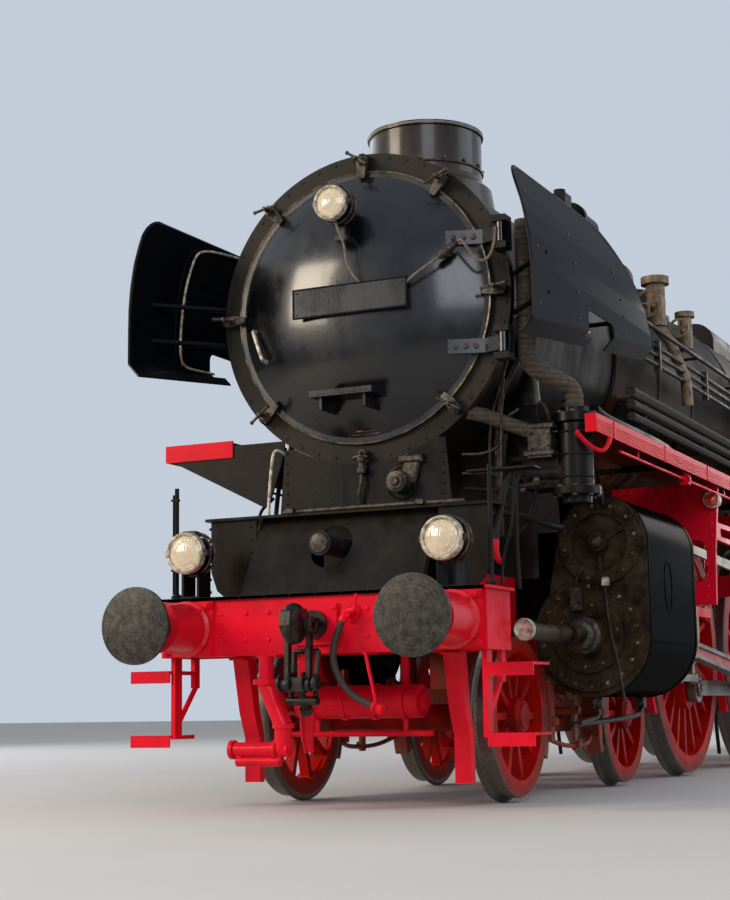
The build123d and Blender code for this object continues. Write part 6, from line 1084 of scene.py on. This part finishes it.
make("cab_grab_rails", "engine", worn_nickel, *grab)
# The roof's half width, its rise and the height of its eaves give the radius of its arc.
roof_half, roof_rise, eaves, side_limit = 1.548, 0.790, 3.480, 1.5495
bow = (roof_half ** 2 + roof_rise ** 2) / (2 * roof_rise)
roof_swing = math.asin(roof_half / bow) * np.linspace(-1, 1, 61)
# A rib is an oblong of 40 by 8 mm carried along the arc: its reach times the sine and cosine of each angle.
rib_reach = bow + np.array((-0.004, -0.004, 0.004, 0.004))
rib_step = np.array((0.0, 0.040, 0.040, 0.0))
rib_out = np.clip(np.sin(roof_swing)[:, None] * rib_reach, -side_limit, side_limit)
rib_up = eaves + roof_rise - bow + np.cos(roof_swing)[:, None] * rib_reach
make("cab_roof_ribs", "engine", cab_enamel,
     *[lofted(at(np.dstack([rib_out, behind + rib_step + 0 * rib_out, rib_up])))
       for behind in (12.822, 13.300, 15.200, 15.716)])

# Cab windows: rolled sheet glass, clear with a green edge and a wipe of dust.
# The eye gets a clear sheen, a little duller towards the corners.
cab_window, tree, place = finish_of("rolled cab window glass")
film = add(tree, "ShaderNodeTexNoise", {"Vector": place, "Scale": 5.0, "Detail": 5.0})
rough = add(tree, "ShaderNodeMapRange", {"Value": film.outputs["Fac"], "To Min": 0.02, "To Max": 0.16})
tone = add(tree, "ShaderNodeMix", {0: film.outputs["Fac"], 6: linear("DDE8E4"), 7: linear("C2CFC8")},
           data_type="RGBA").outputs[2]
sheet = add(tree, "ShaderNodeBsdfPrincipled", {"Base Color": tone, "Roughness": rough.outputs[0], "IOR": 1.52,
                                               "Transmission Weight": 0.9})
add(tree, "ShaderNodeOutputMaterial", {"Surface": sheet.outputs[0]})
dress(cab_window, "cab_glass")

# Cab floor: oak boards over the steel, trodden grey and stained with coal dust.
# The eye gets boards about 150 mm wide along the engine, with dark joints.
oak, tree, place = finish_of("trodden oak floor boards")
across = add(tree, "ShaderNodeMapping", {"Vector": place, "Scale": (14.0, 1.2, 14.0)})
figure = add(tree, "ShaderNodeTexNoise", {"Vector": across.outputs[0], "Scale": 2.0, "Detail": 8.0})
tone = add(tree, "ShaderNodeMix", {0: figure.outputs["Fac"], 6: linear("3A2C1E"), 7: linear("7A6248")},
           data_type="RGBA").outputs[2]
gaps = add(tree, "ShaderNodeTexWave", {"Vector": place, "Scale": 2.09}, bands_direction="X",
           wave_profile="SAW")
joint = add(tree, "ShaderNodeMapRange", {"Value": gaps.outputs["Fac"], "From Min": 0.96, "From Max": 1.0})
tone = add(tree, "ShaderNodeMix", {0: joint.outputs[0], 6: tone, 7: linear("0C0908")},
           data_type="RGBA").outputs[2]
boards = add(tree, "ShaderNodeBsdfPrincipled", {"Base Color": tone, "Roughness": 0.78})
add(tree, "ShaderNodeOutputMaterial", {"Surface": boards.outputs[0]})
dress(oak, "cab_floor")

# Cab fittings: regulator, reverser, gauges and fire door, in polished brass and blackened iron.
# The eye gets warm brass, dulled brown where nothing rubs it.
hand_brass, tree, place = finish_of("hand-rubbed cab brass")
handled = add(tree, "ShaderNodeTexNoise", {"Vector": place, "Scale": 7.0, "Detail": 6.0})
share = add(tree, "ShaderNodeMapRange", {"Value": handled.outputs["Fac"], "From Min": 0.4, "From Max": 0.65})
tone = add(tree, "ShaderNodeMix", {0: share.outputs[0], 6: linear("B58A3C"), 7: linear("3A2A16")},
           data_type="RGBA").outputs[2]
rough = add(tree, "ShaderNodeMapRange", {"Value": share.outputs[0], "To Min": 0.2, "To Max": 0.55})
brass = add(tree, "ShaderNodeBsdfPrincipled", {"Base Color": tone, "Metallic": 0.9,
                                               "Roughness": rough.outputs[0]})
add(tree, "ShaderNodeOutputMaterial", {"Surface": brass.outputs[0]})
dress(hand_brass, "cab_fittings")

# Under the cab: an injector each side, with its delivery pipe to the boiler and its water pipe behind.
# Cast bronze gone brown, with union nuts at every joint.
injector = turned([(0.030, -0.30), (0.030, -0.24), (0.052, -0.23), (0.052, -0.20), (0.040, -0.19),
                   (0.062, -0.06), (0.062, 0.06), (0.040, 0.19), (0.052, 0.20), (0.052, 0.23),
                   (0.030, 0.24), (0.030, 0.30)], 18)
injector_parts, feed_lines = [], []
for side in (1, -1):
    middle = np.array((side * 1.24, 13.70, 1.40))
    injector_parts += [set_out(injector, [middle], (0, 1, 0), (0, 0, 1)),
                       set_out(slab(0.09, 0.09, 0.26, 0.012), [middle + (0, 0, 0.03)], *upright),
                       set_out(nut(0.050), [middle + (0, 0, -0.10), middle + (0, 0, -0.05)], *upright)]
    feed_lines += [tube(at([(side * 1.24, 13.42, 1.40), (side * 1.24, 13.20, 1.40),
                            (side * 1.22, 13.00, 1.52), (side * 1.20, 12.84, 1.80),
                            (side * 1.20, 12.80, 2.20), (side * 1.20, 12.60, 2.42)]), 0.030),
                   tube(at([(side * 1.24, 13.70, 1.34), (side * 1.24, 13.72, 1.20),
                            (side * 1.20, 14.10, 1.12), (side * 1.18, 15.00, 1.12),
                            (side * 1.18, 15.60, 1.14)]), 0.036)]
make("injectors", "engine", aged_copper, *injector_parts)
make("injector_pipes", "engine", aged_copper, *feed_lines)

# Motion brackets: flanged red plates riveted to angles, and the tail of each slide bar bolted through them.
# The eye gets double rows of heads down the edges and round the cut-outs.
bracket_heads = []
for side in (1, -1):
    for x, low, high in ((0.655, 1.25, 2.20), (1.025, 1.36, 2.20), (1.375, 1.75, 2.18), (1.325, 1.36, 1.62)):
        bracket_heads += [(side * x, 4.560, z) for z in np.arange(low, high, 0.085)]
    bracket_heads += [(side * x, 4.560, 2.205) for x in np.arange(0.66, 1.42, 0.085)]
    bracket_heads += [(side * x, 6.905, 2.190) for x in np.arange(0.66, 1.42, 0.085)]
make("motion_bracket_rivets", "engine", signal_enamel, set_out(rivet(0.015), bracket_heads))
make("slide_bar_bolts", "engine", oily_steel,
     set_out(nut(0.024), [(side * x, behind, 1.304) for side in (1, -1) for x in (1.100, 1.160)
                          for behind in (3.60, 3.72, 5.08, 5.15)], *upright))

# Driving, carrying and trailing wheels: cast spoked centres in red enamel, shrunk-on steel tyres.
# The eye gets an orange-red rim, a worn tread, brown brake dust and dark oil flung out from the hub.
def wheel_finish(name, middle, radius, rim):
    """By distance r from the axle: oil below 0.12 m, red
    enamel, and bare brown steel beyond the tyre's edge."""
    material, tree, place = finish_of(name)
    axle = at([middle])[0]
    offset = add(tree, "ShaderNodeMapping", {"Vector": place, "Location": (0.0, -axle[1], -axle[2]),
                                             "Scale": (0.0, 1.0, 1.0)})
    reach = add(tree, "ShaderNodeVectorMath", {0: offset.outputs[0]}, operation="LENGTH").outputs["Value"]
    patches = add(tree, "ShaderNodeTexNoise", {"Vector": place, "Scale": 9.0, "Detail": 8.0,
                                               "Roughness": 0.65})
    dusty = add(tree, "ShaderNodeMapRange", {"Value": patches.outputs["Fac"], "From Min": 0.42,
                                             "From Max": 0.75})
    tone = add(tree, "ShaderNodeMix", {0: dusty.outputs[0], 6: linear("BA100E"), 7: linear("7A2216")},
               data_type="RGBA").outputs[2]
    oil = add(tree, "ShaderNodeMapRange", {"Value": reach, "From Min": 0.09, "From Max": 0.30, "To Min": 0.85,
                                           "To Max": 0.0})
    flung = add(tree, "ShaderNodeMath", {0: oil.outputs[0], 1: patches.outputs["Fac"]}, operation="MULTIPLY")
    tone = add(tree, "ShaderNodeMix", {0: flung.outputs[0], 6: tone, 7: linear("140F0C")},
               data_type="RGBA").outputs[2]
    tyre = add(tree, "ShaderNodeMapRange", {"Value": reach, "From Min": radius - 0.016,
                                            "From Max": radius - 0.010})
    scored = add(tree, "ShaderNodeTexNoise", {"Vector": place, "Scale": 60.0, "Detail": 4.0})
    bare = add(tree, "ShaderNodeMix", {0: scored.outputs["Fac"], 6: linear("4A423B"), 7: linear("8C857C")},
               data_type="RGBA").outputs[2]
    tone = add(tree, "ShaderNodeMix", {0: tyre.outputs[0], 6: tone, 7: bare}, data_type="RGBA").outputs[2]
    edge = add(tree, "ShaderNodeMapRange", {"Value": reach, "From Min": radius - rim - 0.004,
                                            "From Max": radius - rim})
    rim_tone = add(tree, "ShaderNodeMix", {0: dusty.outputs[0], 6: linear("96261A"), 7: linear("60301F")},
                   data_type="RGBA").outputs[2]
    rim_share = add(tree, "ShaderNodeMath", {0: edge.outputs[0], 1: tyre.outputs[0]}, operation="SUBTRACT",
                    use_clamp=True)
    tone = add(tree, "ShaderNodeMix", {0: rim_share.outputs[0], 6: tone, 7: rim_tone},
               data_type="RGBA").outputs[2]
    rough = add(tree, "ShaderNodeMapRange", {"Value": patches.outputs["Fac"], "To Min": 0.25, "To Max": 0.6})
    cast = add(tree, "ShaderNodeBump", {"Height": scored.outputs["Fac"], "Strength": 0.2, "Distance": 0.003})
    paint = add(tree, "ShaderNodeBsdfPrincipled", {"Base Color": tone, "Roughness": rough.outputs[0],
                                                   "Metallic": tyre.outputs[0], "Normal": cast.outputs[0],
                                                   "Specular IOR Level": 0.07})
    add(tree, "ShaderNodeOutputMaterial", {"Surface": paint.outputs[0]})
    return material


# name, axle behind the buffer faces, radius of the tread, depth of the rim
wheelsets = [
    ("bogie_wheelset_front", 1.775, 0.5, 0.07),
    ("bogie_wheelset_rear", 3.975, 0.5, 0.07),
    ("driving_wheelset_1", 5.775, 1.0, 0.075),
    ("driving_wheelset_2", 8.075, 1.0, 0.075),
    ("driving_wheelset_3", 10.375, 1.0, 0.075),
    ("trailing_wheelset", 14.175, 0.625, 0.07),
]
for name, behind, radius, rim in wheelsets:
    dress(wheel_finish(f"tyred {name}", (0.0, behind, radius), radius, rim), name)
axle_of = {name: behind for name, behind, _, _ in wheelsets}

# Rods and valve gear: forged steel, machined bright, kept from rust with a wiped film of oil.
# The eye gets a brushed grey sheen with brown smears, and red paint in the flutes of the main rods.
# The brush marks are drawn 17 mm wide, because the real ones are too fine to show.
rod_steel, tree, place = finish_of("oiled forged rod steel")
along = add(tree, "ShaderNodeMapping", {"Vector": place, "Scale": (60.0, 3.0, 60.0)})
grain = add(tree, "ShaderNodeTexNoise", {"Vector": along.outputs[0], "Scale": 1.0, "Detail": 5.0})
smears = add(tree, "ShaderNodeTexNoise", {"Vector": place, "Scale": 5.0, "Detail": 7.0})
film = add(tree, "ShaderNodeMapRange", {"Value": smears.outputs["Fac"], "From Min": 0.45, "From Max": 0.7})
tone = add(tree, "ShaderNodeMix", {0: grain.outputs["Fac"], 6: linear("6F6A62"), 7: linear("9A958B")},
           data_type="RGBA").outputs[2]
tone = add(tree, "ShaderNodeMix", {0: film.outputs[0], 6: tone, 7: linear("4A3D2E")},
           data_type="RGBA").outputs[2]
split = add(tree, "ShaderNodeSeparateXYZ", {0: place})
side = add(tree, "ShaderNodeMath", {0: split.outputs["X"]}, operation="ABSOLUTE")
floors = [add(tree, "ShaderNodeMath", {0: side.outputs[0], 1: depth, 2: 0.0012},
              operation="COMPARE").outputs[0] for depth in (1.105, 1.155)]
flute = add(tree, "ShaderNodeMath", {0: floors[0], 1: floors[1]}, operation="MAXIMUM").outputs[0]
tone = add(tree, "ShaderNodeMix", {0: flute, 6: tone,
                                   7: add(tree, "ShaderNodeMix", {0: film.outputs[0], 6: linear("D01018"),
                                                                  7: linear("5A1C14")},
                                          data_type="RGBA").outputs[2]}, data_type="RGBA").outputs[2]
bare = add(tree, "ShaderNodeMath", {0: 0.9, 1: flute}, operation="SUBTRACT", use_clamp=True)
rough = add(tree, "ShaderNodeMapRange", {"Value": grain.outputs["Fac"], "To Min": 0.22, "To Max": 0.48})
steel = add(tree, "ShaderNodeBsdfPrincipled", {"Base Color": tone, "Metallic": bare.outputs[0],
                                               "Roughness": rough.outputs[0]})
add(tree, "ShaderNodeOutputMaterial", {"Surface": steel.outputs[0]})
dress(rod_steel, "coupling_rod_left", "coupling_rod_right", "main_rods", "valve_gear")

# The rod ends carry brass oil cups with screwed lids, and turned caps close the crank pins.
cup = turned([(0.016, -0.004), (0.016, 0.010), (0.024, 0.012), (0.024, 0.030), (0.014, 0.040),
              (0.006, 0.046)], 12)
cap = turned([(0.074, -0.002), (0.074, 0.012), (0.062, 0.020), (0.030, 0.020), (0.030, 0.030),
              (0.010, 0.032)], 24)
drivers = [axle_of[f"driving_wheelset_{number}"] for number in (1, 2, 3)]
pin_step = {"left": (-0.1129, 0.6899, 1), "right": (0.3250, 1.0573, -1)}
for name, (step, z, side) in pin_step.items():
    pins = [(side * 0.903, middle + step, z + 0.150) for middle in drivers]
    make(f"coupling_rod_{name}_oil_cups", f"coupling_rod_{name}", hand_brass,
         set_out(cup, np.add(pins, (0, 0, 0.016)), *upright))
    for number in (1, 3):
        make(f"crank_pin_cap_{name}_{number}", f"driver_{number}", oily_steel,
             set_out(cap, [(side * 0.941, drivers[number - 1] + step, z)], (side, 0, 0), (0, 0, 1)))
    make(f"main_rod_{name}_big_end", "engine", oily_steel,
         set_out(cap, [(side * 1.178, drivers[1] + step, z)], (side, 0, 0), (0, 0, 1)),
         set_out(nut(0.020), [(side * 1.176, drivers[1] + step + a, z + b) for a in (-0.10, 0.10)
                              for b in (-0.10, 0.10)], (side, 0, 0), (0, 0, 1)))

# Crossheads: cast steel with bronze-faced slippers, yellow with old oil.
# The eye gets an ochre, half-matt body under black grease.
slipper_bronze, tree, place = finish_of("oiled crosshead bronze and steel")
smears = add(tree, "ShaderNodeTexNoise", {"Vector": place, "Scale": 11.0, "Detail": 8.0})
film = add(tree, "ShaderNodeMapRange", {"Value": smears.outputs["Fac"], "From Min": 0.4, "From Max": 0.66})
tone = add(tree, "ShaderNodeMix", {0: film.outputs[0], 6: linear("A88432"), 7: linear("2C2013")},
           data_type="RGBA").outputs[2]
bronze = add(tree, "ShaderNodeBsdfPrincipled", {"Base Color": tone, "Metallic": 0.75, "Roughness": 0.42})
add(tree, "ShaderNodeOutputMaterial", {"Surface": bronze.outputs[0]})
dress(slipper_bronze, "crossheads")

# Bogie and trailing truck: red enamelled frames long since browned by rust, brake dust and dirt.
# The eye gets rusty orange-brown with islands of the old red, quite matt.
rusted_gear, tree, place = finish_of("rust-browned red bogie steel")
bloom = add(tree, "ShaderNodeTexNoise", {"Vector": place, "Scale": 6.0, "Detail": 10.0, "Roughness": 0.7})
fine = add(tree, "ShaderNodeTexNoise", {"Vector": place, "Scale": 45.0, "Detail": 5.0})
share = add(tree, "ShaderNodeMapRange", {"Value": bloom.outputs["Fac"], "From Min": 0.4, "From Max": 0.6})
rust = add(tree, "ShaderNodeMix", {0: fine.outputs["Fac"], 6: linear("4E2A18"), 7: linear("96552E")},
           data_type="RGBA").outputs[2]
tone = add(tree, "ShaderNodeMix", {0: share.outputs[0], 6: linear("9C2218"), 7: rust},
           data_type="RGBA").outputs[2]
pits = add(tree, "ShaderNodeBump", {"Height": fine.outputs["Fac"], "Strength": 0.4, "Distance": 0.004})
scale = add(tree, "ShaderNodeBsdfPrincipled", {"Base Color": tone, "Roughness": 0.68,
                                               "Normal": pits.outputs[0]})
add(tree, "ShaderNodeOutputMaterial", {"Surface": scale.outputs[0]})
dress(rusted_gear, "bogie_frame", "trailing_truck")

# Bogie brake: cast blocks hung on links beside the wheels, a cross shaft, pull rods and leaf springs.
# Scale thick enough to round its edges lies over the old red paint.
# A block is an oblong carried round the wheel: its reach times the cosine and sine of each angle.
block_turn = np.radians(np.linspace(-24, 24, 13))[:, None]
block_reach, block_out = np.array((0.520, 0.585, 0.585, 0.520)), np.array((0.700, 0.700, 0.800, 0.800))
block_ahead, block_up = block_reach * np.cos(block_turn), 0.46 + block_reach * np.sin(block_turn)
brake_parts = []
for side in (1, -1):
    for middle, face in ((axle_of["bogie_wheelset_front"], 1), (axle_of["bogie_wheelset_rear"], -1)):
        block = np.dstack([side * block_out + 0 * block_up, middle + face * block_ahead, block_up])
        brake_parts.append(lofted(at(block[::side * face])))
        top = middle + face * 0.60
        brake_parts.append(set_out(slab(0.020, 0.070, 0.50, 0.006),
                                   [(side * x, top, 0.33) for x in (0.688, 0.812)], *upright))
        brake_parts.append(set_out(turned([(0.032, -0.09), (0.032, 0.09)], 14), [(side * 0.75, top, 0.46)],
                                   (1, 0, 0)))
        brake_parts.append(tube(at([(side * 0.56, top, 0.66), (side * 0.70, top, 0.70),
                                    (side * 0.84, top, 0.80)]), 0.024))
    brake_parts += [
        tube(at([(side * 0.75, 2.39, 0.36), (side * 0.80, 2.60, 0.30), (side * 0.80, 2.85, 0.29)]), 0.016),
        tube(at([(side * 0.75, 3.36, 0.36), (side * 0.80, 3.15, 0.30), (side * 0.80, 2.90, 0.29)]), 0.016),
        set_out(slab(0.026, 0.060, 0.34, 0.008), [(side * 0.80, 2.87, 0.26)], *upright),
        set_out(nut(0.030), [(side * 0.815, 2.87, 0.30), (side * 0.815, 2.87, 0.53),
                             (side * 0.825, 2.39, 0.46), (side * 0.825, 3.36, 0.46)], (side, 0, 0),
                (0, 0, 1)),
        set_out(slab(0.10, 0.12, 0.13, 0.012), [(side * 0.72, 2.87, 0.575)], *upright),
        set_out(turned([(0.020, 0.0), (0.020, 0.16)], 10),
                [(side * 0.56, behind, 0.62) for behind in (2.50, 3.24)], (side, 0, 0))]
    for row, length in enumerate((0.86, 0.74, 0.62, 0.50, 0.38)):
        sag = np.linspace(-1, 1, 9)
        line = np.column_stack([np.full(9, side * 0.72), 2.87 + sag * length / 2,
                                0.665 - row * 0.016 - 0.05 * (1 - sag ** 2)])
        strip = [line + (side * x, 0, z) for x, z in ((-0.045, 0), (0.045, 0), (0.045, 0.012),
                                                      (-0.045, 0.012))]
        brake_parts.append(lofted(at(np.stack(strip, axis=1)[:, ::-side])))
brake_parts.append(tube(at([(-0.79, 2.87, 0.53), (0.0, 2.87, 0.53), (0.79, 2.87, 0.53)]), 0.032, 14))
make("bogie_brake_gear", "bogie", rusted_gear, *brake_parts)
